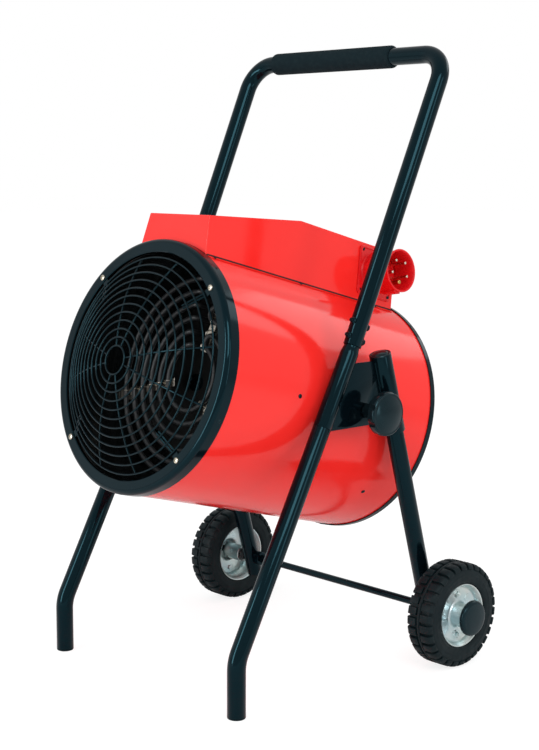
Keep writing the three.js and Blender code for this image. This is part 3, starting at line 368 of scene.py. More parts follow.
class Finish:
    """A Principled material that is built up touch by touch."""

    def __init__(self, name, colour, roughness, **sockets):
        self.material = bpy.data.materials.new(name)
        self.material.use_nodes = True
        self.nodes = self.material.node_tree.nodes
        self.links = self.material.node_tree.links
        self.shader = self.nodes["Principled BSDF"]
        self.colour = colour
        self.roughness = roughness
        self.shader.inputs["Base Color"].default_value = colour
        self.shader.inputs["Roughness"].default_value = roughness
        for socket, value in sockets.items():
            self.shader.inputs[socket.replace("_", " ")].default_value = value
        self.place = self.nodes.new("ShaderNodeTexCoord").outputs["Object"]
        self.bump = None

    def noise(self, scale, detail=2, stretch=None):
        texture = self.nodes.new("ShaderNodeTexNoise")
        texture.inputs["Scale"].default_value = scale
        texture.inputs["Detail"].default_value = detail
        if stretch is None:
            self.links.new(self.place, texture.inputs["Vector"])
        else:
            mapping = self.nodes.new("ShaderNodeMapping")
            mapping.inputs["Scale"].default_value = stretch
            self.links.new(self.place, mapping.inputs["Vector"])
            self.links.new(mapping.outputs["Vector"], texture.inputs["Vector"])
        return texture.outputs["Fac"]

    def cells(self, scale, feature="F1"):
        texture = self.nodes.new("ShaderNodeTexVoronoi")
        texture.feature = feature
        texture.inputs["Scale"].default_value = scale
        self.links.new(self.place, texture.inputs["Vector"])
        return texture

    def ramp(self, source, low, high, start, end):
        ramp = self.nodes.new("ShaderNodeMapRange")
        ramp.inputs["From Min"].default_value = low
        ramp.inputs["From Max"].default_value = high
        ramp.inputs["To Min"].default_value = start
        ramp.inputs["To Max"].default_value = end
        self.links.new(source, ramp.inputs["Value"])
        return ramp.outputs["Result"]

    def drift(self, other, scale, share=1.0, low=0.35, high=0.65, source=None, detail=3):
        """The colour drifts towards another one in soft patches."""
        source = source or self.noise(scale, detail)
        mix = self.nodes.new("ShaderNodeMix")
        mix.data_type = "RGBA"
        mix.inputs["A"].default_value = self.colour
        mix.inputs["B"].default_value = other
        self.links.new(self.ramp(source, low, high, 0, share), mix.inputs["Factor"])
        if self.shader.inputs["Base Color"].is_linked:
            before = self.shader.inputs["Base Color"].links[0].from_socket
            self.links.new(before, mix.inputs["A"])
        self.links.new(mix.outputs["Result"], self.shader.inputs["Base Color"])
        return self

    def wear(self, scale, spread, detail=4, source=None):
        """The gloss wanders by a spread to either side."""
        source = source or self.noise(scale, detail)
        rough = self.ramp(source, 0.3, 0.7, max(self.roughness - spread, 0.02), self.roughness + spread)
        self.links.new(rough, self.shader.inputs["Roughness"])
        return self

    def relief(self, scale, depth, detail=2, source=None, stretch=None):
        """Fine bumps of a depth in metres."""
        source = source or self.noise(scale, detail, stretch)
        bump = self.nodes.new("ShaderNodeBump")
        bump.inputs["Strength"].default_value = 1
        bump.inputs["Distance"].default_value = depth
        self.links.new(source, bump.inputs["Height"])
        if self.bump is not None:
            self.links.new(self.bump.outputs["Normal"], bump.inputs["Normal"])
        self.bump = bump
        self.links.new(bump.outputs["Normal"], self.shader.inputs["Normal"])
        return self


print("finish builder ready")

# %% [markdown]
# ### Paints
# The drum and its box are sprayed with a glossy red, the stand and the rings with a glossy black. The black's
# reflections get a blue-green tint in the shader, a painted reflection of a blue-green room, and its
# near-black base colour, the paint's own, leans blue-green with the same painted reflection. Sprayed paint
# has a faint orange-peel relief, a millimetre or two across, which makes long reflections waver.

# %% Paints
red_paint = Finish("red_gloss_paint", colour_of(255, 47, 42), 0.12, Specular_IOR_Level=0.38)
red_paint.drift(colour_of(250, 41, 37), 9, 0.6).wear(30, 0.03).relief(700, 0.000012, 1)

# A painted reflection: this blue-green specular tint colours every reflection on the black paint and the wire
# paint.
PAINTED_BLUE_GREEN_REFLECTION = (0.28, 0.8, 1.0, 1)
black_paint = Finish("black_gloss_paint", colour_of(4, 13, 18), 0.1, Specular_IOR_Level=0.26,
                     Specular_Tint=PAINTED_BLUE_GREEN_REFLECTION)
black_paint.drift(colour_of(3, 11, 16), 14, 0.8).wear(40, 0.03).relief(650, 0.00001, 1)

wire_paint = Finish("black_wire_paint", colour_of(4, 11, 15), 0.16, Specular_IOR_Level=0.3,
                    Specular_Tint=PAINTED_BLUE_GREEN_REFLECTION)
wire_paint.drift(colour_of(7, 15, 20), 60, 0.8).wear(120, 0.05).relief(900, 0.00002, 2)
print("paints:", red_paint.material.name, black_paint.material.name, wire_paint.material.name)

# %% [markdown]
# ### Metals
# Zinc plating is a cool silver with faint bluish and yellowish clouds. The strips that hold the rods are
# galvanised sheet, whose zinc froze in crystals a few millimetres across, so each crystal takes its own
# shade from a Voronoi pattern. The heating rods are sheathed in steel that the heat has turned a dull dark
# grey.

# %% Metals
zinc = Finish("zinc_plating", colour_of(212, 226, 230), 0.33, Metallic=1.0)
zinc.drift(colour_of(186, 214, 220), 35, 0.9).drift(colour_of(226, 220, 204), 21, 0.4)
zinc.wear(60, 0.08).relief(1200, 0.000008, 2)

bright_steel = Finish("galvanised_steel", colour_of(206, 198, 184), 0.34, Metallic=1.0)
spangle = bright_steel.cells(170)
bright_steel.drift(colour_of(160, 158, 152), 1, 0.9, 0.1, 0.9, source=spangle.outputs["Color"])
bright_steel.wear(1, 0.1, source=spangle.outputs["Color"]).relief(500, 0.00001, 2)

rod_sheath = Finish("heat_darkened_sheath", colour_of(44, 47, 49), 0.36, Metallic=0.3)
rod_sheath.drift(colour_of(30, 31, 33), 30, 1.0).wear(90, 0.1).relief(1500, 0.00003, 3)

motor_paint = Finish("motor_grey_paint", colour_of(62, 68, 72), 0.42, Specular_IOR_Level=0.45)
motor_paint.drift(colour_of(50, 55, 60), 40, 0.8).wear(80, 0.08).relief(1100, 0.00003, 3)

liner_enamel = Finish("liner_enamel", colour_of(9, 12, 13), 0.2, Specular_IOR_Level=0.35)
liner_enamel.drift(colour_of(14, 17, 18), 18, 0.8).wear(60, 0.06).relief(420, 0.00002, 2)

# The fan's dark finish is painted shade: it keeps the inside of the drum dark behind the guard.
fan_shade_finish = Finish("fan_painted_shade", colour_of(24, 27, 29), 0.34, Specular_IOR_Level=0.45)
fan_shade_finish.drift(colour_of(34, 38, 40), 30, 0.7).wear(70, 0.08).relief(700, 0.00002, 2)

pin_metal = Finish("nickel_plating", colour_of(226, 220, 206), 0.2, Metallic=1.0)
pin_metal.drift(colour_of(200, 190, 170), 160, 0.8).wear(300, 0.06).relief(2500, 0.000004, 2)

brass = Finish("brass", colour_of(214, 178, 108), 0.22, Metallic=1.0)
brass.drift(colour_of(190, 150, 84), 160, 0.8).wear(300, 0.06).relief(2500, 0.000004, 2)
print("metals:", zinc.material.name, bright_steel.material.name, rod_sheath.material.name)

# %% [markdown]
# ### Rubber, foam and plastics
# The tyres are matte black rubber, a little dusty, the grip is foam with open pores, and the knobs and caps
# are moulded plastic: glossy where they are polished, finely grained on the panel's dials.

# %% Rubber, foam and plastics
tyre_rubber = Finish("tyre_rubber", colour_of(10, 25, 29), 0.5, Specular_IOR_Level=0.17)
tyre_rubber.drift(colour_of(26, 40, 44), 55, 0.6, 0.5, 0.8).wear(120, 0.1).relief(900, 0.0001, 4)

foam = Finish("foam_rubber", colour_of(16, 31, 36), 0.85, Specular_IOR_Level=0.1)
foam_pores = foam.cells(900)
foam.drift(colour_of(28, 42, 46), 120, 0.6, 0.45, 0.8)
foam.relief(1, 0.00012, source=foam_pores.outputs["Distance"]).relief(260, 0.0001, 4)

black_plastic = Finish("grained_black_plastic", colour_of(27, 31, 33), 0.45, Specular_IOR_Level=0.45)
black_plastic.drift(colour_of(36, 40, 42), 60, 0.6).wear(150, 0.06).relief(1800, 0.00004, 3)

# The blue-green specular tint of the polished plastic is a painted reflection, as on the black paint.
gloss_plastic = Finish("polished_black_plastic", colour_of(13, 22, 26), 0.16, Specular_IOR_Level=0.3,
                       Specular_Tint=(0.4, 0.85, 1.0, 1))
gloss_plastic.drift(colour_of(19, 29, 33), 40, 0.7).wear(90, 0.05).relief(900, 0.000008, 2)

red_plastic = Finish("red_moulded_plastic", colour_of(236, 24, 30), 0.26, Specular_IOR_Level=0.35)
red_plastic.drift(colour_of(222, 20, 26), 50, 0.8).wear(120, 0.06).relief(1500, 0.000004, 2)

lamp_glass = Finish("amber_lens", colour_of(240, 150, 30), 0.1, Transmission_Weight=0.55, IOR=1.49)
lamp_glass.drift(colour_of(226, 120, 20), 200, 0.7).relief(1200, 0.00003, 1)

dial_white = Finish("white_marking_ink", colour_of(232, 232, 226), 0.5)
dial_white.drift(colour_of(214, 214, 208), 300, 0.6).relief(2500, 0.00001, 2)

# A dark matte finish of painted shade: it darkens the inside of the drum and draws the shadow line along the
# seam of the box.
painted_shade_finish = Finish("painted_shade", colour_of(12, 14, 15), 0.9)
painted_shade_finish.drift(colour_of(20, 22, 23), 80, 0.6).relief(600, 0.00004, 2)
print("materials:", len(bpy.data.materials))

# %% [markdown]
# ## Handing a piece in
# A finished piece has its place in its mesh, is shaded smooth up to a given angle, wears one or more
# finishes, rides on one body of the frame, and hides the solid that it stands for.


# %% Finishing a piece
def finish_piece(piece, finish, body, slot, *nodes, smooth=35, flat=False):
    apply_place(piece)
    bpy.ops.object.shade_smooth_by_angle(angle=math.radians(smooth))
    if flat:
        modify(piece, "WEIGHTED_NORMAL", keep_sharp=True)
    if finish is not None:
        piece.data.materials.clear()
        piece.data.materials.append(finish.material)
    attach(piece, body)
    if nodes:
        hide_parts(*nodes)
    print(f"{piece.name}: {len(piece.data.polygons)} faces")
    return piece


def finish_on_drum(piece, finish, slot, *nodes, body="drum", smooth=35, flat=False):
    """Tips a piece that was modelled level, about the pivot, with the drum, and finishes it there."""
    place(piece, DRUM_FRAME)
    return finish_piece(piece, finish, body, slot, *nodes, smooth=smooth, flat=flat)


# %% [markdown]
# ## The stand
# Each side of the stand is a front leg, a bracket and a rear leg in one upright plane, 28 mm tube
# throughout. The front leg leans back from a bend above the foot, and the handle carries its line on up to
# the cross bar. The sizes below are the stand's own; the frame's pivot says where it stands.

# %% Sizes of the stand
SIDE_X = 0.2145
TUBE = 0.014
TUBE_WALL = 0.0015
FOOT_Y = PIVOT.y - 0.266
BEND_HEIGHT = 0.085
LEG_LEAN = math.radians(27.9)
LEG_TOP = 0.4097
LEG_DIRECTION = Vector((0, math.sin(LEG_LEAN), math.cos(LEG_LEAN)))
HANDLE_END = 0.529
NECK_LENGTH = 0.014
NECK = 0.0119
NECK_WALL = 0.002
SPIGOT = 0.03
SEAT_GAP = 0.0003
GRIP_FROM = -0.167
GRIP_TO = 0.109
GRIP = 0.0183


def leg_point(side, height):
    """A point on the axis of a leg above its bend."""
    return Vector((side * SIDE_X, FOOT_Y + (height - BEND_HEIGHT) * math.tan(LEG_LEAN), height))


handle_foot = {side: leg_point(side, HANDLE_END) for _, side in SIDES}
handle_corner = {side: Vector((side * 0.2225, FOOT_Y + 0.435, 0.975)) for _, side in SIDES}
handle_rise = {side: (handle_corner[side] - handle_foot[side]).normalized() for _, side in SIDES}
print("handle from", tuple(round(value, 3) for value in handle_foot[1]))

# %% [markdown]
# ### Handle and grip
# The handle is one tube, bent twice with the same radius. It is drawn as a circle that is fed forward and
# swung round each bend, then given its wall. The foam grip is a sleeve with rounded ends, a little off the
# middle, as on the real handle.

# %% Handle and grip
HANDLE_BEND = 0.046
handle = bent_tube("handle_tube", [handle_foot[1], handle_corner[1], handle_corner[-1], handle_foot[-1]],
                   HANDLE_BEND, TUBE, TUBE_WALL, sides=40, steps=16)
soften(handle, 0.0004, 2, 60)
finish_piece(handle, black_paint, "stand", "black_paint", "handle")

GRIP_BORE = 0.0141
GRIP_EDGE = 0.0052
grip_length = GRIP_TO - GRIP_FROM
grip_edge = arc((GRIP - GRIP_EDGE, GRIP_EDGE), GRIP_EDGE, -90, 0, 6)
grip_far = arc((GRIP - GRIP_EDGE, grip_length - GRIP_EDGE), GRIP_EDGE, 0, 90, 6)
grip = turned("foam_sleeve", closed([(GRIP_BORE, 0)] + grip_edge + grip_far + [(GRIP_BORE, grip_length)]), 64)
place(grip, aimed(Vector((GRIP_FROM, handle_corner[1].y, handle_corner[1].z)), ACROSS))
finish_piece(grip, foam, "stand", "foam_rubber", "handle_grip")

# %% [markdown]
# ### Legs and their caps
# A front leg runs straight up from its cap and bends once. The cap is a plug of plastic with a thin rim
# that shows under the tube.

# %% Front legs and foot caps
LEG_BEND = 0.06
CAP_RIM = 0.0025
for label, side in SIDES:
    foot = Vector((side * SIDE_X, FOOT_Y, CAP_RIM + SEAT_GAP))
    bend = Vector((side * SIDE_X, FOOT_Y, BEND_HEIGHT))
    leg = bent_tube(f"front_tube_{label}", [foot, bend, leg_point(side, LEG_TOP)], LEG_BEND, TUBE, TUBE_WALL,
                    sides=40, steps=12)
    soften(leg, 0.0005, 2, 60)
    finish_piece(leg, black_paint, "stand", "black_paint", f"front_leg_{label}")

    rim = arc((TUBE - 0.0018, 0.0016), 0.0016, -90, 0, 4)
    plug = [(TUBE, CAP_RIM), (TUBE - TUBE_WALL - 0.0003, CAP_RIM), (TUBE - TUBE_WALL - 0.0005, 0.0145),
            (0, 0.0145)]
    cap = turned(f"foot_plug_{label}", [(0, 0.0004), (0.009, 0.0004), (0.0096, 0)] + rim + plug, 48)
    place(cap, aimed(Vector((side * SIDE_X, FOOT_Y, 0)), UPRIGHT))
    finish_piece(cap, gloss_plastic, "stand", "black_plastic", f"front_foot_cap_{label}")

# %% [markdown]
# ### Brackets
# A bracket is welded up from a stub of leg tube with a drawn-in neck for the handle, a wide socket for the
# rear leg, and a plate between them that carries the drum's stud. The weld seams are rows of small beads,
# copied along each edge of the plate with an array.

# %% Sizes of a bracket
SOCKET_TOP_Y = FOOT_Y + 0.298
SOCKET_TOP_Z = 0.51
AXLE_Y = FOOT_Y + 0.42
AXLE_Z = 0.085
SOCKET = 0.0172
SOCKET_BORE = 0.0145
SOCKET_LENGTH = 0.128
PLATE = 0.004
PLATE_TOP = 0.502
PLATE_BOTTOM = 0.403
STUD = 0.006
STUD_PLAY = 0.0005
WELD_HEIGHT = 0.0004
socket_top = {side: Vector((side * SIDE_X, SOCKET_TOP_Y, SOCKET_TOP_Z)) for _, side in SIDES}
axle_spot = {side: Vector((side * SIDE_X, AXLE_Y, AXLE_Z)) for _, side in SIDES}
REAR_DIRECTION = (axle_spot[1] - socket_top[1]).normalized()
print("rear legs lean", round(math.degrees(REAR_DIRECTION.angle(-UPRIGHT)), 1), "degrees")


# %% Plate, weld beads and bracket
def socket_line(side, height):
    """A point on the axis of a rear leg at a height."""
    return socket_top[side] + REAR_DIRECTION * ((height - SOCKET_TOP_Z) / REAR_DIRECTION.z)


def bracket_plate(side):
    low = leg_point(side, LEG_TOP) + LEG_DIRECTION * 2 * SEAT_GAP
    backward = Vector((0, LEG_DIRECTION.z, -LEG_DIRECTION.y))
    corners = [
        low + backward * TUBE / 2,
        low + backward * TUBE,
        leg_point(side, PLATE_BOTTOM) + Vector((0, TUBE / LEG_DIRECTION.z, 0)),
        socket_line(side, PLATE_BOTTOM),
        socket_line(side, PLATE_TOP),
        leg_point(side, PLATE_TOP),
    ]
    half = ACROSS * PLATE / 2
    plate = sheet_of("plate", [corner - half for corner in corners], ACROSS * PLATE)
    drill(plate, STUD + STUD_PLAY, (side * SIDE_X, PIVOT.y, PIVOT.z), ALONG_X, 32)
    soften(plate, 0.0006, 2, 40)
    return plate


def weld_seam(start, end, radius=0.0019):
    """A row of flattened beads from start to end."""
    clear_selection()
    pitch = radius * 0.9
    bpy.ops.mesh.primitive_ico_sphere_add(subdivisions=2, radius=radius, location=start)
    seam = bpy.context.object
    edit_all(seam)
    bpy.ops.transform.resize(value=(1, 0.75, 1))
    leave_edit()
    step = (end - start).normalized() * pitch
    modify(seam, "ARRAY", count=int((end - start).length / pitch), use_relative_offset=False,
           use_constant_offset=True, constant_offset_displace=step)
    return seam


def bracket(label, side):
    low = leg_point(side, LEG_TOP) + LEG_DIRECTION * SEAT_GAP
    end = handle_foot[side]
    length = (end - low).length
    neck = length - NECK_LENGTH
    swage = []
    for step in range(9):
        share = step / 8
        swage.append((TUBE + (NECK - TUBE) * (1 - math.cos(math.pi * share)) / 2, neck + share * NECK_LENGTH))
    edge = arc((TUBE - 0.0005, 0.0005), 0.0005, -90, 0, 3)
    outside = edge + swage
    inside = [(NECK - NECK_WALL, length), (TUBE - TUBE_WALL, neck), (TUBE - TUBE_WALL, 0)]
    stub = place(turned("stub", closed(outside + inside), 64), aimed(low, LEG_DIRECTION))
    bore = NECK - NECK_WALL
    spigot_line = [(NECK, -SEAT_GAP), (NECK, SPIGOT), (bore, SPIGOT), (bore, -SEAT_GAP)]
    spigot = turned("spigot", closed(spigot_line), 48)
    place(spigot, aimed(end, handle_rise[side]))
    rim = arc((SOCKET - 0.0005, 0.0005), 0.0005, -90, 0, 3)
    far = arc((SOCKET - 0.0005, SOCKET_LENGTH - 0.0005), 0.0005, 0, 90, 3)
    socket = turned("socket", closed([(SOCKET_BORE, 0)] + rim + far + [(SOCKET_BORE, SOCKET_LENGTH)]), 64)
    place(socket, aimed(socket_top[side], REAR_DIRECTION))
    pieces = [stub, spigot, socket, bracket_plate(side)]
    across_leg = Vector((0, LEG_DIRECTION.z, -LEG_DIRECTION.y)) * TUBE
    across_socket = Vector((0, REAR_DIRECTION.z, -REAR_DIRECTION.y)) * SOCKET
    for face in (1, -1):
        offset = ACROSS * face * (PLATE / 2 + WELD_HEIGHT)
        start = leg_point(side, LEG_TOP + 0.012) + across_leg + offset
        pieces.append(weld_seam(start, start + LEG_DIRECTION * 0.092))
        start = socket_line(side, PLATE_TOP) + across_socket + offset
        pieces.append(weld_seam(start, start + REAR_DIRECTION * 0.098))
    return join(f"bracket_{label}", *pieces)


for label, side in SIDES:
    finish_piece(bracket(label, side), black_paint, "stand", "black_paint", f"side_bracket_{label}")

# %% [markdown]
# ### Rear legs and socket caps
# The rear leg starts inside the socket and runs down past the axle. A domed plastic cap closes the socket:
# its dome sits inside a sunken ring, which catches a thin dark line.

# %% Rear legs and socket caps
LEG_INSET = 0.016
LEG_OVERHANG = 0.034


def low_dome(radius, start, height):
    """Points of (radius, distance) over a flattened dome, from its edge to its middle."""
    return [(radius * math.cos(math.radians(angle)), start + height * math.sin(math.radians(angle)))
            for angle in range(0, 91, 15)]


for label, side in SIDES:
    start = socket_top[side] + REAR_DIRECTION * LEG_INSET
    end = axle_spot[side] + REAR_DIRECTION * LEG_OVERHANG
    tube = TubeBender(f"rear_tube_{label}", start, REAR_DIRECTION, TUBE, 40)
    leg = tube.feed((end - start).length).done(TUBE_WALL)
    soften(leg, 0.0005, 2, 60)
    finish_piece(leg, black_paint, "stand", "black_paint", f"rear_leg_{label}")

    dome = low_dome(0.0134, 0.0014, 0.0034)
    rim = [(SOCKET, 0.0004), (SOCKET, 0.0016), (SOCKET - 0.0006, 0.0024), (0.0150, 0.0026), (0.0144, 0.0014),
           (0.0138, 0.0012)]
    cap = turned(f"socket_plug_{label}", [(0, -0.012), (0.0139, -0.012), (0.0142, 0.0004)] + rim + dome, 64)
    place(cap, aimed(socket_top[side], -REAR_DIRECTION))
    finish_piece(cap, gloss_plastic, "stand", "gloss_black_plastic", f"socket_cap_{label}", smooth=25)

# %% [markdown]
# ### Handle bolts
# Two bolts cross each end of the handle. Their low domed heads face the front and a hexagonal nut with a
# washer closes each one behind the tube.


# %% Handle bolts
def nut(width, height):
    """A hexagonal nut on the Y axis, chamfered like a machined one."""
    clear_selection()
    bpy.ops.mesh.primitive_cylinder_add(vertices=6, radius=width / 2 / math.cos(math.pi / 6), depth=height,
                                        location=(0, height / 2, 0), rotation=ALONG_Y)
    piece = bpy.context.object
    apply_place(piece)
    cone = turned("cone", [(0, -0.001), (width * 0.56, -0.001), (width * 0.56, height * 0.85),
                           (width * 0.44, height * 1.05), (0, height * 1.05)], 32)
    modify(piece, "BOOLEAN", object=cone, operation="INTERSECT", solver="EXACT")
    bpy.data.objects.remove(cone)
    soften(piece, 0.0003, 2, 40)
    return piece


BOLT_HEAD = 0.0055
BOLT_FIRST = 0.0125
BOLT_PITCH = 0.0235
for label, side in SIDES:
    across = handle_rise[side].cross(ACROSS).normalized()
    for number, level in enumerate(("lower", "upper")):
        middle = handle_foot[side] + handle_rise[side] * (BOLT_FIRST + number * BOLT_PITCH)
        head = turned("head", [(0, 0.0001), (BOLT_HEAD, 0.0001)] + low_dome(BOLT_HEAD, 0.0009, 0.0028), 32)
        place(head, aimed(middle - across * (TUBE - 0.0001), -across))
        washer = turned("washer", closed([(0.003, 0), (0.0062, 0), (0.0062, 0.001), (0.003, 0.001)]), 32)
        place(washer, aimed(middle + across * TUBE, across))
        hexagon = place(nut(0.0105, 0.005), aimed(middle + across * (TUBE + 0.001), across))
        shank_line = [(0, -0.02), (0.003, -0.02), (0.003, 0.0223), (0.0024, 0.0228), (0, 0.0228)]
        shank = turned("shank", shank_line, 24)
        place(shank, aimed(middle, across))
        bolt = join(f"handle_screw_{level}_{label}", head, washer, hexagon, shank)
        finish_piece(bolt, black_paint, "stand", "black_paint", f"handle_bolt_{level}_{label}")

# %% [markdown]
# ### Axle
# One black round bar carries both wheels. A collar holds it inside each leg, with a small grub screw, and a
# spacer keeps each wheel off the leg.

# %% Axle, collars and spacers
AXLE = 0.006
AXLE_BORE = 0.0062
AXLE_END = 0.3111
axle_bar = turned("axle_bar", [(0, -AXLE_END), (AXLE - 0.001, -AXLE_END), (AXLE, -AXLE_END + 0.001),
                               (AXLE, AXLE_END - 0.001), (AXLE - 0.001, AXLE_END), (0, AXLE_END)], 40)
place(axle_bar, aimed(Vector((0, AXLE_Y, AXLE_Z)), ACROSS))
finish_piece(axle_bar, black_paint, "stand", "black_paint", "axle")


def sleeve(name, bore, radius, length, bevel):
    """A plain tube along +Y with all four edges bevelled."""
    corners = [(bore, bevel), (bore + bevel, 0), (radius - bevel, 0), (radius, bevel),
               (radius, length - bevel), (radius - bevel, length), (bore + bevel, length),
               (bore, length - bevel)]
    return turned(name, closed(corners), 48)


for label, side in SIDES:
    collar = sleeve("collar", AXLE_BORE, 0.012, 0.014, 0.0008)
    screw_line = [(0, 0.0112), (0.0016, 0.0112), (0.0016, 0.0119), (0.0025, 0.0121), (0.0025, 0.009)]
    screw = turned("screw", screw_line, 16)
    place(screw, Matrix.Translation((0, 0.007, 0)) @ Matrix.Rotation(math.pi / 2, 4, "X"))
    collar = join(f"axle_ring_{label}", collar, screw)
    start = Vector((side * (SIDE_X - TUBE - SEAT_GAP), AXLE_Y, AXLE_Z))
    place(collar, aimed(start, -ACROSS * side))
    finish_piece(collar, black_paint, "stand", "black_paint", f"axle_collar_{label}")
    spacer = sleeve(f"spacer_ring_{label}", AXLE_BORE, 0.01, 0.0085, 0.0008)
    place(spacer, aimed(Vector((side * (SIDE_X + TUBE + SEAT_GAP), AXLE_Y, AXLE_Z)), ACROSS * side))
    finish_piece(spacer, black_plastic, "stand", "black_plastic", f"wheel_spacer_{label}")

# %% [markdown]
# ## Wheels
# A wheel is modelled lying about the Y axis, with its outer face towards +Y, and is then set on the end of
# the axle. The tyre's carcass is one turned outline. The tread is one rubber block, bevelled, which the
# spin tool repeats thirty times round each side. The two rows stand half a step apart.

# %% Sizes of a wheel
WHEEL_X = 0.2666
TYRE_HALF = 0.0255
TREAD = 0.0847
TREAD_FLOOR = 0.0798
BLOCKS = 30
BLOCK_LENGTH = 0.0122
RIM_HALF = 0.0212
RIM_WALL = 0.0012
DISC_AT = 0.010
FIXING_CIRCLE = 0.0335
RIB_STRETCH = 1.9
HUB_BACK = 0.029
BOSS_END = 0.0386
CAP_AT = 0.0389
CAP_TOP = 0.049
CAP = 0.0285


def walled(line, wall):
    """A bent line of (radius, distance) given a wall to its left, as a closed outline."""
    points = [Vector(point) for point in line]
    inner = []
    for index, point in enumerate(points):
        sides = []
        if index > 0:
            sides.append((point - points[index - 1]).normalized())
        if index + 1 < len(points):
            sides.append((points[index + 1] - point).normalized())
        normals = [Vector((-side.y, side.x)) for side in sides]
        middle = sum(normals, Vector((0, 0))).normalized()
        inner.append(tuple(point + middle * wall / max(middle.dot(normals[0]), 0.4)))
    return closed([tuple(point) for point in points] + inner[::-1])


def spin_copies(piece, count, axis=(0, 1, 0), centre=(0, 0, 0)):
    """Repeats a whole piece round an axis."""
    edit_all(piece)
    turn = -math.tau * (count - 1) / count
    bpy.ops.mesh.spin(steps=count - 1, angle=turn, center=centre, axis=axis, dupli=True)
    leave_edit()
    return piece


# %% Tyres
def tread_block():
    """One block of the tread, standing over the Y axis on the +Y side of the middle."""
    section = [(0.0040, TREAD_FLOOR), (0.0046, TREAD), (0.0185, 0.0843), (0.0226, 0.0822), (0.0248, 0.0786),
               (0.0252, 0.0752), (0.0225, 0.0748), (0.0205, TREAD_FLOOR - 0.001)]
    half = ACROSS * BLOCK_LENGTH / 2
    block = sheet_of("block", [Vector((0, y, z)) - half for y, z in section], half * 2)
    soften(block, 0.0008, 2, 30)
    return block


def tyre(label):
    side_line = [(0.0455, 0.0142), (0.0519, 0.0212), (0.0530, 0.0232), (0.0555, 0.0247), (0.0590, 0.0252),
                 (0.0640, 0.0252), (0.0652, TYRE_HALF), (0.0664, 0.0252), (0.0700, 0.0250), (0.0740, 0.0243),
                 (0.0772, 0.0222), (0.0790, 0.0198), (TREAD_FLOOR, 0.0170), (TREAD_FLOOR, 0.0034),
                 (0.0828, 0.0026), (0.0838, 0.0014), (0.0838, 0)]
    other = [(radius, -distance) for radius, distance in side_line[-2::-1]]
    carcass = turned("carcass", closed(side_line + other), 120)
    right_row = spin_copies(tread_block(), BLOCKS)
    half_step = Matrix.Rotation(math.pi / BLOCKS, 4, "Y")
    left_row = copy_of(right_row, "left_row", half_step @ Matrix.Scale(-1, 4, (0, 1, 0)))
    weld(left_row)
    return join(f"tyre_casing_{label}", carcass, right_row, left_row)


for label, side in SIDES:
    casing = place(tyre(label), aimed(Vector((side * WHEEL_X, AXLE_Y, AXLE_Z)), ACROSS * side))
    finish_piece(casing, tyre_rubber, f"wheel_{label}", "tyre_rubber", f"tyre_{label}", smooth=38)

# %% [markdown]
# ### Rims
# A rim is pressed from two sheets: a barrel with rolled lips that holds the tyre, and a dish with a flared
# boss round the axle. Four raised pads carry the rivets and nuts that hold the halves together.

# %% Rims
def rim(label):
    barrel_line = [(0.0514, RIM_HALF), (0.0502, 0.0208), (0.0478, 0.0172), (0.0462, 0.0142),
                   (0.0464, -0.0142), (0.0478, -0.0172), (0.0502, -0.0208), (0.0514, -RIM_HALF)]
    barrel = turned("barrel", walled(barrel_line, -RIM_WALL), 96)
    flare = arc((0.0245, DISC_AT + 0.0055), 0.0055, 270, 180, 6)
    line = [(0.0500, 0.0192), (0.0470, 0.0150), (0.0455, 0.0122), (0.0435, 0.0104), (0.0415, DISC_AT)]
    line += flare + [(0.0190, 0.030), (0.0190, BOSS_END - 0.0008), (0.0184, BOSS_END)]
    dish = turned("dish", walled(line, RIM_WALL), 96)
    tube = sleeve("tube", AXLE_BORE, 0.0145, HUB_BACK + 0.012, 0.0006)
    place(tube, Matrix.Translation((0, -HUB_BACK, 0)))
    face_line = [(AXLE_BORE, 0.0335), (0.0180, 0.0335), (0.0180, 0.0347), (AXLE_BORE, 0.0347)]
    face = turned("face", closed(face_line), 64)
    pieces = [barrel, dish, tube, face]
    pad_line = [(0, 0.0004), (0.0074, 0.0004), (0.0070, 0.0011), (0.0060, 0.0016), (0, 0.0016)]
    pad = place(turned("pad", pad_line, 32), Matrix.Translation((0, DISC_AT - 0.0004, FIXING_CIRCLE)))
    bolt_nut = place(nut(0.0078, 0.0036), Matrix.Translation((0, DISC_AT + 0.0012, FIXING_CIRCLE)))
    stem = turned("stem", [(0, -0.004), (0.002, -0.004), (0.002, 0.0062), (0.0015, 0.0068), (0, 0.0068)], 20)
    place(stem, Matrix.Translation((0, DISC_AT, FIXING_CIRCLE)))
    head_line = [(0, -0.0048), (0.0042, -0.0042), (0.0045, -0.0025), (0.0045, -0.0012), (0, -0.0012)]
    head = place(turned("head", head_line, 24), Matrix.Translation((0, DISC_AT, FIXING_CIRCLE)))
    pieces.append(spin_copies(join("fixing", pad, bolt_nut, stem, head), 4))
    rib = turned("rib", [(0, 0.0003), (0.0034, 0.0003), (0.0030, 0.0010), (0, 0.0014)], 24)
    place(rib, Matrix.Diagonal((1.0, 1.0, RIB_STRETCH, 1.0)))
    on_disc = Matrix.Translation((0, DISC_AT - 0.0004, FIXING_CIRCLE))
    place(rib, Matrix.Rotation(math.pi / 4, 4, "Y") @ on_disc)
    pieces.append(spin_copies(rib, 4))
    return join(f"rim_{label}", *pieces)


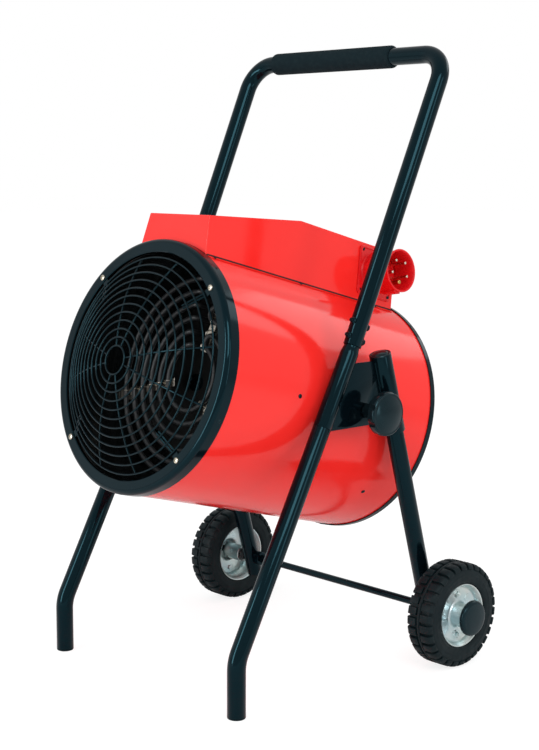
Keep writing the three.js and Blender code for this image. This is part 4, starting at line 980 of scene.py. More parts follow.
for label, side in SIDES:
    spot = aimed(Vector((side * WHEEL_X, AXLE_Y, AXLE_Z)), ACROSS * side)
    wheel_rim = place(rim(label), spot)
    weld(wheel_rim, 1e-7)
    finish_piece(wheel_rim, zinc, f"wheel_{label}", "zinc", f"wheel_rim_{label}", smooth=32)

    crown = arc((CAP - 0.0042, CAP_TOP - 0.0058), 0.0042, 0, 62, 8)
    dome = [(0.0228, CAP_TOP - 0.0016), (0.0180, CAP_TOP - 0.0008), (0.0120, CAP_TOP - 0.0003), (0, CAP_TOP)]
    edge = [(0.0195, CAP_AT), (0.0276, CAP_AT), (CAP, CAP_AT + 0.0009), (CAP, CAP_AT + 0.0030),
            (CAP - 0.0007, CAP_AT + 0.0034)]
    hollow = [(0, CAP_TOP - 0.0028), (0.0195, CAP_TOP - 0.0040)]
    cap = turned(f"cap_{label}", hollow + edge + crown + dome, 80)
    place(cap, spot)
    finish_piece(cap, gloss_plastic, f"wheel_{label}", "gloss_black_plastic", f"hub_cap_{label}", smooth=50)

# %% [markdown]
# ## Clamp knobs
# Each knob has a slim hub and a thick head with eight shallow lobes. Hub and head are one turned outline
# with a flattened dome, and a boolean takes eight round bars out of the head's rim.

# %% Clamp knobs
KNOB_INNER = 0.2168
KNOB_HEAD = 0.2493
KNOB_EDGE = 0.2633
KNOB_TOP = 0.2693
KNOB = 0.034
KNOB_DOME = 0.0305
LOBES = 8


def knob():
    head_from = KNOB_HEAD - KNOB_INNER
    edge = KNOB_EDGE - KNOB_INNER
    top = KNOB_TOP - KNOB_INNER
    low_round = arc((KNOB - 0.003, head_from + 0.003), 0.003, -90, 0, 5)
    high_round = arc((KNOB - 0.0048, edge - 0.0032), 0.0048, 0, 60, 5)
    dome = []
    for step in range(11):
        radius = KNOB_DOME * (1 - step / 10)
        rise = 1 - (radius / KNOB_DOME) ** 2.2
        dome.append((radius, edge + 0.0006 + (top - edge - 0.0006) * rise))
    line = [(0, 0.0005), (0.0062, 0.0005), (0.0062, 0.0003), (0.0102, 0.0003), (0.0110, 0.0012)]
    line.append((0.0112, 0.014))
    line += [(0.0120, head_from - 0.006), (0.0150, head_from - 0.0015), (0.0190, head_from)]
    body = turned("body", line + low_round + high_round + dome, 128)
    bar = turned("bar", [(0, head_from - 0.004), (0.0062, head_from - 0.004), (0.0062, edge - 0.001),
                         (0.0046, edge + 0.0006), (0, edge + 0.0022)], 32)
    place(bar, Matrix.Translation((0, 0, KNOB + 0.0036)))
    place(bar, Matrix.Rotation(math.pi / LOBES, 4, "Y"))
    spin_copies(bar, LOBES)
    cut_away(body, bar)
    soften(body, 0.0009, 3, 42)
    return body


for label, side in SIDES:
    clamp = place(knob(), aimed(Vector((side * KNOB_INNER, PIVOT.y, PIVOT.z)), ACROSS * side))
    clamp.name = f"clamp_head_{label}"
    body = f"clamp_knob_{label}"
    finish_piece(clamp, gloss_plastic, body, "gloss_black_plastic", body, smooth=40)

# %% [markdown]
# ## The drum
# Everything on the drum is modelled level, with the Y axis as the drum's axis and the pivot at the origin,
# and is then tipped into place. The shell is one rolled sheet with a wall. Its inner faces get a dark finish
# that paints the shade inside the drum, so the red shows outside only.

# %% Sizes of the drum
DRUM = 0.1955
DRUM_WALL = 0.0015
SHELL_FRONT = -0.2757
SHELL_REAR = 0.1817
DRUM_FRONT = -0.284
DRUM_REAR = 0.186
RING_SHEET = 0.0014
RING_OPENING = 0.176
RING_OUTER = 0.1974
FRONT_SKIRT = 0.023
REAR_SKIRT = 0.012
FRONT_ROLL = 0.008
REAR_ROLL = 0.004
SCREW_CIRCLE = 0.1825
SCREW_ANGLE = math.radians(45.5)
SCREW_ANGLES = (SCREW_ANGLE, math.pi - SCREW_ANGLE, math.pi + SCREW_ANGLE, -SCREW_ANGLE)


def around(radius, distance, angle):
    """A point on the drum: distance along it, and the angle from straight up, towards +X."""
    return Vector((radius * math.sin(angle), distance, radius * math.cos(angle)))


def inner_finish(piece, finish, radius):
    """Gives the faces that look towards the drum's axis a finish of their own."""
    piece.data.materials.append(finish.material)
    for face in piece.data.polygons:
        outwards = Vector((face.center.x, 0, face.center.z))
        if outwards.length < radius and face.normal.dot(outwards) < 0:
            face.material_index = len(piece.data.materials) - 1


def pan_screw(radius=0.0035, height=0.0018, slot_turn=0.0):
    """A small pan head with a cross recess, standing along +Y from its seat at the origin."""
    dome = [(0, 0), (radius, 0), (radius, height * 0.35)]
    dome += [(radius * math.cos(math.radians(angle)), height * (0.35 + 0.65 * math.sin(math.radians(angle))))
             for angle in (20, 40, 60, 75)]
    head = turned("screw", dome + [(0, height)], 24)
    for turn in (slot_turn, slot_turn + math.pi / 2):
        clear_selection()
        bpy.ops.mesh.primitive_cube_add(size=1, location=(0, height, 0), rotation=(0, turn, 0),
                                        scale=(radius * 1.15, height * 0.9, radius * 0.3))
        cut_away(head, bpy.context.object)
    return head


# %% Shell
shell_line = [(DRUM - DRUM_WALL, SHELL_REAR), (DRUM - DRUM_WALL, SHELL_FRONT), (DRUM, SHELL_FRONT)]
shell_line += [(DRUM, -0.2), (DRUM, -0.1), (DRUM, 0.0), (DRUM, 0.1), (DRUM, SHELL_REAR)]
shell = turned("drum_sheet", closed(shell_line), 192)
for side in (1, -1):
    drill(shell, STUD + 0.0003, (side * DRUM, 0, 0), ALONG_X)
shell.data.materials.append(red_paint.material)
# The inner faces take the dark finish of painted shade, for the shade inside the drum.
inner_finish(shell, painted_shade_finish, DRUM - DRUM_WALL / 2)
finish_on_drum(shell, None, "red_paint", "drum_shell", smooth=20)

# %% [markdown]
# ### End rings
# Each ring is pressed from sheet: a flat face with a clear opening, a rolled shoulder and a skirt over the
# shell. Small dark screws hold the skirt, and four bright ones hold the guard to the front face.


# %% End rings
def end_ring(name, roll, skirt, front):
    shoulder = arc((RING_OUTER - roll, roll), roll, 0, -90, 10)
    line = [(RING_OUTER, skirt)] + shoulder + [(RING_OPENING + 0.0012, 0), (RING_OPENING, 0.0009)]
    inside = [(RING_OPENING, RING_SHEET)]
    inside += arc((RING_OUTER - roll, roll), roll - RING_SHEET, -90, 0, 8)
    inside.append((RING_OUTER - RING_SHEET, skirt))
    ring = turned(name, closed(line + inside), 192)
    if not front:
        place(ring, Matrix.Rotation(math.pi, 4, "X"))
    return place(ring, Matrix.Translation((0, DRUM_FRONT if front else DRUM_REAR, 0)))


def skirt_screws(distance, angles):
    screws = []
    for angle in angles:
        screw = pan_screw(0.0030, 0.0010, angle)
        screws.append(place(screw, aimed(around(RING_OUTER - 0.0004, distance, angle), around(1, 0, angle))))
    return screws


SKIRT_ANGLES = [math.radians(angle) for angle in (36, 108, 180, 252, 324)]
front_ring = end_ring("front_rim", FRONT_ROLL, FRONT_SKIRT, True)
finish_on_drum(front_ring, black_paint, "black_paint", "front_ring", flat=True)
rear_ring = end_ring("rear_rim", REAR_ROLL, REAR_SKIRT, False)
finish_on_drum(rear_ring, black_paint, "black_paint", "rear_ring", flat=True)

# %% [markdown]
# ### Guards
# A guard is welded from round wire: rings on a shallow dome, spokes behind them, and a hairpin of two wires
# at each screw that ends in a flat eyelet. The rings are tori, and each spoke is a circle extruded in short
# straight steps that follow the dome.

# %% Guards
WIRE = 0.0015
GUARD_HUB = 0.022
GUARD_EDGE = 0.167
HAIRPIN_REACH = 0.034
HAIRPIN_SPACING = 0.005
EYELET = 0.0055
EYELET_HOLE = 0.0028


def wire_ring(radius, distance):
    clear_selection()
    around_steps = 96 if radius > 0.08 else 64
    bpy.ops.mesh.primitive_torus_add(major_radius=radius, minor_radius=WIRE, major_segments=around_steps,
                                     minor_segments=10, location=(0, distance, 0), rotation=ALONG_Y)
    ring = bpy.context.object
    apply_place(ring)
    return ring


def guard(name, ring_count, spoke_angles, rise):
    """A guard whose rim plane is at distance 0, bulging towards -Y."""
    sphere = (GUARD_EDGE ** 2 + rise ** 2) / (2 * rise)

    def bulge(radius):
        return sphere - math.sqrt(sphere ** 2 - radius ** 2) - rise

    def spoke(angle, start, aside):
        sideways = Vector((math.cos(angle), 0, -math.sin(angle))) * aside
        steps = max(2, round((GUARD_EDGE - start) / 0.012))
        corners = []
        for step in range(steps + 1):
            radius = start + (GUARD_EDGE - start) * step / steps
            corners.append(around(radius, bulge(radius) + WIRE * 1.2, angle) + sideways)
        wire = TubeBender("spoke", corners[0], corners[1] - corners[0], WIRE, 10)
        for before, after in zip(corners, corners[1:]):
            extrude_by(after - before)
        return wire.done()

    pitch = (GUARD_EDGE - GUARD_HUB) / (ring_count - 1)
    radii = [GUARD_HUB + number * pitch for number in range(ring_count)]
    pieces = [wire_ring(radius, bulge(radius)) for radius in radii]
    pieces += [spoke(math.radians(angle), GUARD_HUB, 0) for angle in spoke_angles]
    for angle in SCREW_ANGLES:
        pieces += [spoke(angle, GUARD_EDGE - HAIRPIN_REACH, way * HAIRPIN_SPACING / 2) for way in (1, -1)]
        start = RING_SHEET + SEAT_GAP
        tip = [(EYELET * math.sin(math.radians(turn)), SCREW_CIRCLE + EYELET * math.cos(math.radians(turn)))
               for turn in range(-90, 91, 15)]
        outline = [(-EYELET, GUARD_EDGE - 0.005)] + tip + [(EYELET, GUARD_EDGE - 0.005)]
        eyelet = sheet_of("eyelet", [Vector((x, start, z)) for x, z in outline], Vector((0, 0.0022, 0)))
        drill(eyelet, EYELET_HOLE, (0, 0, SCREW_CIRCLE), ALONG_Y, 24)
        pieces.append(place(eyelet, Matrix.Rotation(angle, 4, "Y")))
    whole = join(name, *pieces)
    weld(whole, 1e-7)
    return whole


front_guard = guard("front_grille", 12, (15, 75, 105, 165, 195, 255, 285, 345), 0.046)
place(front_guard, Matrix.Translation((0, DRUM_FRONT, 0)))
finish_on_drum(front_guard, wire_paint, "guard_wire", "front_guard", smooth=60)
rear_guard = guard("rear_grille", 7, (0, 90, 180, 270), 0.006)
place(rear_guard, Matrix.Translation((0, DRUM_REAR, 0)) @ Matrix.Rotation(math.pi, 4, "X"))
finish_on_drum(rear_guard, wire_paint, "guard_wire", "rear_guard", smooth=60)

# %% [markdown]
# ### Guard screws and side studs
# The four screws of the front guard have bright pan heads. The studs that carry the drum have a turned boss
# outside the shell and a flat head inside it.

# %% Guard screws and studs
SCREW_NAMES = ("upper_right", "lower_right", "lower_left", "upper_left")
for label, angle in zip(SCREW_NAMES, SCREW_ANGLES):
    head = pan_screw(0.00465, 0.0025, angle)
    shank_line = [(0, -0.0122), (0.0020, -0.0122), (0.0024, -0.0114), (0.0024, 0.0004), (0, 0.0004)]
    shank = turned("shank", shank_line, 24)
    screw = join(f"bright_screw_{label}", head, shank)
    spot = around(SCREW_CIRCLE, DRUM_FRONT - SEAT_GAP, angle)
    place(screw, aimed(spot, Vector((0, -1, 0))))
    finish_on_drum(screw, pin_metal, "zinc", f"guard_screw_{label}")

BOSS = 0.023
for label, side in SIDES:
    plate_face = SIDE_X - PLATE / 2 - SEAT_GAP
    boss_line = [(0.0062, DRUM + 0.0006), (BOSS - 0.004, DRUM + 0.0006), (BOSS - 0.004, DRUM + 0.004),
                 (BOSS - 0.001, DRUM + 0.0052), (BOSS, DRUM + 0.0066), (BOSS, plate_face - 0.001),
                 (BOSS - 0.001, plate_face), (0.0062, plate_face)]
    boss = turned("boss", closed(boss_line), 64)
    inside_line = [(0, 0.1872), (0.0142, 0.1872), (0.015, 0.1880), (0.015, 0.1916), (0, 0.1916)]
    inside = turned("inside", inside_line, 48)
    shank = turned("shank", [(0, 0.188), (STUD, 0.188), (STUD, 0.2608), (0.0048, 0.262), (0, 0.262)], 40)
    stud = join(f"side_stud_{label}", boss, inside, shank)
    place(stud, aimed(Vector(), ACROSS * side))
    finish_on_drum(stud, black_paint, "zinc", f"pivot_stud_{label}")

# %% [markdown]
# ### Small screws on the shell
# A few dark screws show on the shell and on the skirts of the rings, where the liner, the motor's cross and
# the rings are held.

# %% Shell screws
shell_screws = skirt_screws(DRUM_FRONT + 0.0165, SKIRT_ANGLES) + skirt_screws(DRUM_REAR - 0.008, SKIRT_ANGLES)
SHELL_SPOTS = ((-0.126, 90), (-0.126, 270), (0.1015, 130), (0.1015, 230))
for distance, degrees in SHELL_SPOTS:
    angle = math.radians(degrees)
    screw = pan_screw(0.0034, 0.0016, angle)
    shell_screws.append(place(screw, aimed(around(DRUM - 0.0001, distance, angle), around(1, 0, angle))))
screws = join("shell_screws", *shell_screws)
finish_on_drum(screws, gloss_plastic, "black_paint")

# %% [markdown]
# ## Inside the drum
# Behind the front guard sits a liner of enamelled sheet that keeps the heat off the shell, and in front of
# the fan hang three heating elements. Each element is one long steel-sheathed rod: it comes from the back,
# runs round the drum, turns through a half circle, runs back round on a smaller circle and returns.

# %% Liner
LINER = 0.1766
LINER_FRONT = -0.276
LINER_BACK = -0.086
LINER_WALL = 0.0012
liner_line = [(LINER, LINER_BACK), (LINER, LINER_FRONT + 0.001), (LINER + 0.0006, LINER_FRONT),
              (LINER + LINER_WALL, LINER_FRONT + 0.0006), (LINER + LINER_WALL, LINER_BACK - LINER_WALL),
              (0.1937, LINER_BACK - LINER_WALL), (0.1937, LINER_BACK)]
liner = turned("heat_liner", closed(liner_line), 144)
finish_on_drum(liner, liner_enamel, "black_paint", "heat_shield", smooth=25, flat=True)

# %% Heating elements
ROD = 0.00425
ELEMENT_PLANE = DRUM_FRONT + 0.108
ELEMENT_TAIL = 0.036
ELEMENT_OUTER = 0.158
ELEMENT_PITCH = 0.042
ELEMENT_GAP = 0.021
BACK = Vector((0, 1, 0))


def heating_element(name, number):
    outer = ELEMENT_OUTER - number * ELEMENT_PITCH
    inner = outer - ELEMENT_GAP
    gap = 3.2 * ROD / inner
    bend = 2 * ROD
    rod = TubeBender(name, around(outer, ELEMENT_PLANE + ELEMENT_TAIL, -gap), -BACK, ROD, 20)
    rod.feed(ELEMENT_TAIL - bend)
    circling = Vector((-math.cos(-gap), 0, math.sin(-gap)))
    rod.bend_to(circling, bend, 6)
    first = math.atan2(rod.spot.x, rod.spot.z)
    stop = gap - math.tau + 0.5 * ELEMENT_GAP / inner
    rod.swing(Vector((0, ELEMENT_PLANE, 0)), BACK, stop - first, 72)
    outwards = Vector((rod.spot.x, 0, rod.spot.z)).normalized()
    centre = rod.spot - outwards * (ELEMENT_GAP / 2)
    rod.swing(centre, BACK, -math.pi, 12)
    turned_to = math.atan2(rod.spot.x, rod.spot.z)
    while turned_to > stop + 1:
        turned_to -= math.tau
    back_stop = -gap - bend / inner
    rod.swing(Vector((0, ELEMENT_PLANE, 0)), BACK, back_stop - turned_to, 64)
    rod.bend_to(BACK, bend, 6)
    rod.feed(ELEMENT_TAIL - bend)
    return rod.done()


for number, label in enumerate(("outer", "middle", "inner")):
    element = heating_element(f"rod_{label}", number)
    finish_on_drum(element, rod_sheath, "element_sheath", f"heating_element_{label}", smooth=60)

# %% [markdown]
# ### Element brackets
# Three strips of bright sheet run in from the liner behind the rods. Each is folded along one edge, has a
# foot against the liner, and a wire clip over every rod.

# %% Element brackets
BRACKET_START = ELEMENT_PLANE + ROD + SEAT_GAP
BRACKET_FIRST = math.radians(15)
BRACKET_WIDTH = 0.014
BRACKET_FOLD = 0.0012
CLIP_ASIDE = 0.0015
CLIP_WIRE = 0.0009


def element_bracket(name, angle):
    half = BRACKET_WIDTH / 2
    y = BRACKET_START
    fold = half - BRACKET_FOLD
    strip_corners = ((-half, 0.0445), (half, 0.0445), (half, 0.1755), (-half, 0.1755))
    foot_corners = ((-half, y), (half, y), (half, y + 0.024), (-half, y + 0.024))
    flange_corners = ((y, 0.050), (y, 0.170), (y + 0.008, 0.165), (y + 0.008, 0.055))
    strip = sheet_of("strip", [Vector((a, y, b)) for a, b in strip_corners], Vector((0, 0.0014, 0)))
    foot = sheet_of("foot", [Vector((a, b, 0.1748)) for a, b in foot_corners], Vector((0, 0, BRACKET_FOLD)))
    flange_line = [Vector((fold, a, b)) for a, b in flange_corners]
    flange = sheet_of("flange", flange_line, Vector((BRACKET_FOLD, 0, 0)))
    pieces = [strip, foot, flange]
    for number in range(3):
        outer = ELEMENT_OUTER - number * ELEMENT_PITCH
        for radius in (outer, outer - ELEMENT_GAP):
            start = Vector((CLIP_ASIDE, y + 0.0004, radius + ROD + 0.0012))
            clip = TubeBender("clip", start, -BACK, CLIP_WIRE, 8)
            clip.feed(ROD)
            clip.swing(Vector((CLIP_ASIDE, ELEMENT_PLANE + 0.0007, radius)), ACROSS, math.pi, 10)
            clip.feed(ROD)
            pieces.append(clip.done())
    whole = join(name, *pieces)
    soften(whole, 0.0003, 1, 60)
    return place(whole, Matrix.Rotation(angle, 4, "Y"))


for number in range(3):
    strip = element_bracket(f"rod_support_{number + 1}", BRACKET_FIRST + math.tau * number / 3)
    finish_on_drum(strip, bright_steel, "zinc", f"element_bracket_{number + 1}", smooth=30)

# %% [markdown]
# ### Fan, motor and mount
# The fan has five blades on a riveted hub, in a dark finish that paints the shade inside the drum. A blade
# starts as a flat grid, whose points are moved so that it twists from the hub to the tip, and is given its
# thickness. The motor is a finned can in a ring with four arms.

# %% Fan
FAN_AT = DRUM_FRONT + 0.335
FAN_BLADES = 5
BLADE_ROOT = 0.036
FAN_TIP = 0.1535
FAN_DEPTH = 0.040
FAN_HUB = 0.042


def blade():
    """One blade as a grid of points that twists from the hub to the tip."""
    clear_selection()
    bpy.ops.mesh.primitive_grid_add(x_subdivisions=12, y_subdivisions=9, size=1)
    piece = bpy.context.object
    for vertex in piece.data.vertices:
        share = vertex.co.y + 0.5
        along = vertex.co.x
        radius = BLADE_ROOT + (FAN_TIP - BLADE_ROOT) * share
        chord = math.radians(36 + 8 * math.sin(math.pi * share * 0.9)) * (0.8 + 0.2 * share)
        corner = 1 - 0.10 * max(0, abs(along) - 0.38) / 0.12 * max(0, share - 0.85) / 0.15
        angle = along * chord
        depth = FAN_DEPTH * ((0.6 + 0.4 * share) * along + 0.10 * (0.25 - along ** 2))
        vertex.co = around(radius * corner, FAN_AT + depth, angle)
    modify(piece, "SOLIDIFY", thickness=0.0016, offset=0)
    soften(piece, 0.0004, 1, 50)
    return piece


blades = spin_copies(blade(), FAN_BLADES)
hub_front = FAN_AT - 0.017
hub_line = [(0.0052, hub_front + 0.004), (0.012, hub_front + 0.004), (0.014, hub_front), (0.036, hub_front),
            (0.040, hub_front + 0.0014), (FAN_HUB, hub_front + 0.005), (FAN_HUB, hub_front + 0.034),
            (FAN_HUB - 0.002, hub_front + 0.034), (FAN_HUB - 0.002, hub_front + 0.006),
            (0.036, hub_front + 0.003), (0.012, hub_front + 0.007), (0.012, hub_front + 0.030),
            (0.0052, hub_front + 0.030)]
hub = turned("hub", closed(hub_line), 72)
facing_front = Matrix.Rotation(math.pi, 4, "X")
shaft_nut = place(nut(0.016, 0.006), Matrix.Translation((0, hub_front + 0.004, 0)) @ facing_front)
rivet_line = [(0, -0.0012), (0.003, -0.0004), (0.003, 0.0008), (0, 0.0008)]
rivet = place(turned("rivet", rivet_line, 16), Matrix.Translation((0, hub_front, 0.027)))
fan = join("fan_wheel", blades, hub, shaft_nut, spin_copies(rivet, 10))
weld(fan, 1e-7)
finish_on_drum(fan, fan_shade_finish, "fan_aluminium", "fan", body="fan")

# %% Motor and mount
can_line = [(0, 0.0715), (0.018, 0.0715), (0.0182, 0.0725), (0.046, 0.0725), (0.050, 0.0745), (0.0515, 0.078),
            (0.0515, 0.141), (0.049, 0.1455), (0.044, 0.1478), (0.016, 0.1478), (0.014, 0.1465), (0, 0.1465)]
can = turned("can", can_line, 96)
shaft = turned("shaft", [(0, 0.0366), (0.0042, 0.0366), (0.0049, 0.0374), (0.0049, 0.072), (0, 0.072)], 32)
fin_corners = ((0.082, 0.0490), (0.136, 0.0490), (0.136, 0.0518), (0.082, 0.0518))
fin = sheet_of("fin", [Vector((-0.0007, a, b)) for a, b in fin_corners], Vector((0.0014, 0, 0)))
fins = spin_copies(fin, 48)
vent_corners = ((-0.0012, 0.022), (0.0012, 0.022), (0.0020, 0.040), (-0.0020, 0.040))
vent = sheet_of("vent", [Vector((a, 0.1474, b)) for a, b in vent_corners], Vector((0, 0.0006, 0)))
vents = spin_copies(vent, 20)
motor = join("motor_can", can, shaft, fins, vents)
finish_on_drum(motor, motor_paint, "motor_casing", "fan_motor", smooth=30)

ARM_HALF = 0.0118
ARM_REACH = 0.1925
MOUNT_LOW, MOUNT_HIGH = drum_box("motor_mount")
mount_from = MOUNT_LOW.y + 0.0004
mount_to = MOUNT_HIGH.y - 0.0004
ring_line = [(0.0523, mount_from), (0.0690, mount_from), (0.0690, mount_to), (0.0523, mount_to)]
arm_pieces = [turned("ring", closed(ring_line), 96)]
arm_corners = ((-ARM_HALF, 0.066), (ARM_HALF, 0.066), (ARM_HALF, ARM_REACH), (-ARM_HALF, ARM_REACH))
for quarter in range(4):
    arm = sheet_of("arm", [Vector((x, mount_from, z)) for x, z in arm_corners],
                   Vector((0, mount_to - mount_from, 0)))
    tilt = Matrix.Rotation(math.pi / 4 + quarter * math.pi / 2, 4, "Y")
    bolt_head = place(nut(0.010, 0.004), Matrix.Translation((0, mount_to, 0.0612)))
    arm_pieces += [place(arm, tilt), place(bolt_head, tilt)]
mount = join("motor_cross", *arm_pieces)
soften(mount, 0.0004, 2, 50)
finish_on_drum(mount, black_paint, "zinc", "motor_mount", smooth=30)

# %% [markdown]
# ## The control box
# The box on top of the drum is folded from one sheet: two sides that lean in, a flat front and a roof with
# a peak. Its lower edge follows the drum. It is drawn as its side outline, extruded across, and its
# sides are then leant in; the drum's round is cut out of it.

# %% Box
BOX_FRONT = -0.263
BOX_REAR = 0.162
BOX_APEX = -0.068
BOX_FRONT_HEIGHT = 0.240
BOX_HEIGHT = 0.2785
BOX_BASE = 0.183
BOX_HALF = 0.079
BOX_SPLAY = math.radians(8.25)
BOX_SHEET = 0.0015
BOX_SEAT = 0.180


def side_x(height):
    """Half the width of the box at a height above the drum's axis."""
    return BOX_HALF - (height - BOX_BASE) * math.tan(BOX_SPLAY)


def box_solid(inset, low, rear_extra):
    """The filled shape of the box, drawn in by an inset and carried on past the rear end."""
    front = BOX_FRONT + inset
    rear = BOX_REAR + rear_extra
    corners = [(front, low), (front, BOX_FRONT_HEIGHT - inset), (BOX_APEX, BOX_HEIGHT - inset),
               (rear, BOX_HEIGHT - inset), (rear, low)]
    block = sheet_of("block", [Vector((-1, y, z)) for y, z in corners], Vector((2, 0, 0)))
    for vertex in block.data.vertices:
        vertex.co.x = math.copysign(side_x(vertex.co.z) - inset, vertex.co.x)
    return block


def drum_tool(radius, start, end):
    """A plain cylinder round the drum's axis, to cut with."""
    return turned("tool", [(0, start), (radius, start), (radius, end), (0, end)], 192)


box = box_solid(0, 0.12, 0)
soften(box, 0.0011, 3, 8)
cut_away(box, drum_tool(DRUM + 0.0003, -0.4, 0.4))
skirt_cut = drum_tool(RING_OUTER + 0.0003, -0.4, DRUM_FRONT + FRONT_SKIRT + 0.0003)
cut_away(box, skirt_cut)
cut_away(box, box_solid(BOX_SHEET, 0.1, 0.02))
INLET_AT = DRUM_FRONT + 0.3965
INLET_HEIGHT = 0.2325
INLET_OUT = Vector((math.cos(BOX_SPLAY), 0, math.sin(BOX_SPLAY)))
INLET_UP = INLET_OUT.cross(BACK).normalized()
INLET_FACE = Vector((side_x(INLET_HEIGHT), INLET_AT, INLET_HEIGHT))
INLET_FRAME = Matrix((INLET_OUT.cross(INLET_UP), INLET_OUT, INLET_UP)).transposed().to_4x4()
INLET_FRAME.translation = INLET_FACE
window = turned("window", [(0, -0.01), (0.0303, -0.01), (0.0303, 0.01), (0, 0.01)], 64)
place(window, INLET_FRAME)
cut_away(box, window)
weld(box, 1e-6)

# The lower edge is folded out over the drum as a narrow lip, held by small screws.
lips = []
seam_shades = []
for side in (1, -1):
    base_angle = math.asin((side_x(BOX_SEAT) - 0.0002) / (DRUM + 0.0004))
    line = []
    for lift, width in ((0.0004, 0.0), (0.0004, 0.0040), (0.0014, 0.0044), (0.0018, 0.0)):
        line.append(around(DRUM + lift, 0, base_angle + width / DRUM))
    start = Vector((0, DRUM_FRONT + FRONT_SKIRT + 0.0006, 0))
    lip = sheet_of("lip", [point + start for point in line], Vector((0, BOX_REAR - start.y, 0)))
    # Along the corner of each lip runs a thin dark strip, a painted shadow line for the seam between box and
    # drum.
    seam_shade_line = [around(DRUM + reach, 0, base_angle + extra)
                 for reach, extra in ((0.0004, 0.0), (0.0004, 0.0076), (0.0024, 0.0060), (0.0034, -0.0006))]
    seam_shade = sheet_of("seam_shade", [point + start for point in seam_shade_line], Vector((0, BOX_REAR - start.y, 0)))
    if side < 0:
        for strip in (lip, seam_shade):
            place(strip, Matrix.Scale(-1, 4, ACROSS))
            weld(strip)
    lips.append(lip)
    seam_shades.append(seam_shade)
box = join("switch_box", box, *lips)
finish_on_drum(box, red_paint, "red_paint", "control_box", flat=True)

# %% Small screws of the box, and the dark strip of painted shade along its seam
seam_shade = join("painted_seam_shade", *seam_shades)
finish_on_drum(seam_shade, painted_shade_finish, "black_plastic")
box_screws = []
for side in (1, -1):
    for distance in (-0.246, -0.060, 0.118):
        angle = side * (math.asin(side_x(BOX_SEAT) / DRUM) + 0.0125)
        seat = aimed(around(DRUM + 0.0012, distance, angle), around(1, 0, angle))
        box_screws.append(place(pan_screw(0.0028, 0.0013, angle), seat))
screws = join("box_screws", *box_screws)
finish_on_drum(screws, gloss_plastic, "black_paint")

# %% [markdown]
# ### Control panel
# The rear end of the box is closed by a black plate with two dials, a lamp and a reset button. The dials'
# scales are plain printed marks: a ring of ticks with a few numbers. The marks are thin raised strokes of
# ink, kept as one piece.

# %% Panel
PANEL_FACE = 0.158
PANEL = 0.002
DIAL_X = 0.031
DIAL_HEIGHT = 0.238
LAMP_X = -0.014
RESET_X = 0.014
LOW_HEIGHT = 0.207
PANEL_LOW = 0.179
PANEL_TOP = drum_box("control_panel")[1].z
low_x = side_x(PANEL_LOW) - 0.002
top_x = side_x(PANEL_TOP) - 0.002
panel_end = PANEL_TOP - 0.0004
panel_corners = [(-low_x, PANEL_LOW), (low_x, PANEL_LOW), (top_x, panel_end), (-top_x, panel_end)]
panel = sheet_of("control_face", [Vector((x, PANEL_FACE - PANEL, z)) for x, z in panel_corners],
                 Vector((0, PANEL, 0)))
cut_away(panel, drum_tool(DRUM + 0.0005, -0.4, 0.4))
for x, height, radius in ((-DIAL_X, DIAL_HEIGHT, 0.0034), (DIAL_X, DIAL_HEIGHT, 0.0034),
                          (LAMP_X, LOW_HEIGHT, 0.0039), (RESET_X, LOW_HEIGHT, 0.0053)):
    drill(panel, radius, (x, PANEL_FACE, height), ALONG_Y)
soften(panel, 0.0004, 2, 50)
panel_screws = []
for x, height in ((-0.060, 0.196), (0.060, 0.196), (-0.052, 0.262), (0.052, 0.262)):
    screw = pan_screw(0.0029, 0.0014, x * 30)
    panel_screws.append(place(screw, Matrix.Translation((x, PANEL_FACE, height))))
panel = join("control_face", panel, *panel_screws)
finish_on_drum(panel, black_paint, "black_paint", "control_panel", smooth=30, flat=True)

# %% Printed marks
INK = 0.00012


def mark(x, height, width, length, turn):
    """One printed stroke, its middle at a place on the panel."""
    half = width / 2
    end = length / 2
    corners = [(-half, -end), (half, -end), (half, end), (-half, end)]
    stroke = sheet_of("stroke", [Vector((a, 0, b)) for a, b in corners], Vector((0, INK, 0)))
    spot = Matrix.Translation((x, PANEL_FACE + 0.00002, height))
    return place(stroke, spot @ Matrix.Rotation(turn, 4, "Y"))


def number(text, x, height, size):
    """A printed figure that reads upright from behind the heater."""
    clear_selection()
    bpy.ops.object.text_add(location=(0, 0, 0))
    letters = bpy.context.object
    letters.data.body = text
    letters.data.size = size
    letters.data.align_x = "CENTER"
    letters.data.align_y = "CENTER"
    letters.data.extrude = INK / 2
    letters.data.resolution_u = 3
    bpy.ops.object.convert(target="MESH")
    letters = bpy.context.object
    facing_back = Matrix.Rotation(math.pi, 4, "Z") @ Matrix.Rotation(math.pi / 2, 4, "X")
    return place(letters, Matrix.Translation((x, PANEL_FACE + INK / 2, height)) @ facing_back)


def dial_spot(dial_x, reach, turn):
    """A place on the panel at a reach and a turn from a dial's middle."""
    return dial_x + reach * math.sin(turn), DIAL_HEIGHT + reach * math.cos(turn)


marks = []
for step in range(4):
    turn = math.radians(-60 * step)
    x, height = dial_spot(-DIAL_X, 0.0232, turn)
    marks.append(mark(x, height, 0.0008, 0.0026, turn))
    x, height = dial_spot(-DIAL_X, 0.0274, turn)
    marks.append(number(str(step), x, height, 0.0052))
for step in range(21):
    turn = math.radians(-135 + step * 13.5)
    length = 0.0030 if step % 5 == 0 else 0.0018
    x, height = dial_spot(DIAL_X, 0.0218 + length / 2, turn)
    marks.append(mark(x, height, 0.0005, length, turn))
for x in (LAMP_X, RESET_X):
    ring = turned("ring", closed([(0.0072, 0), (0.0078, 0), (0.0078, INK), (0.0072, INK)]), 48)
    marks.append(place(ring, Matrix.Translation((x, PANEL_FACE + 0.00002, LOW_HEIGHT))))
scales = join("printed_scales", *marks)
finish_on_drum(scales, dial_white, "black_paint")

# %% [markdown]
# ### Dials, lamp and button
# A dial has a flat skirt, a fluted grip and a white pointer line. The flutes are cut by a ring of thin rods.

# %% Dials
DIAL = 0.019


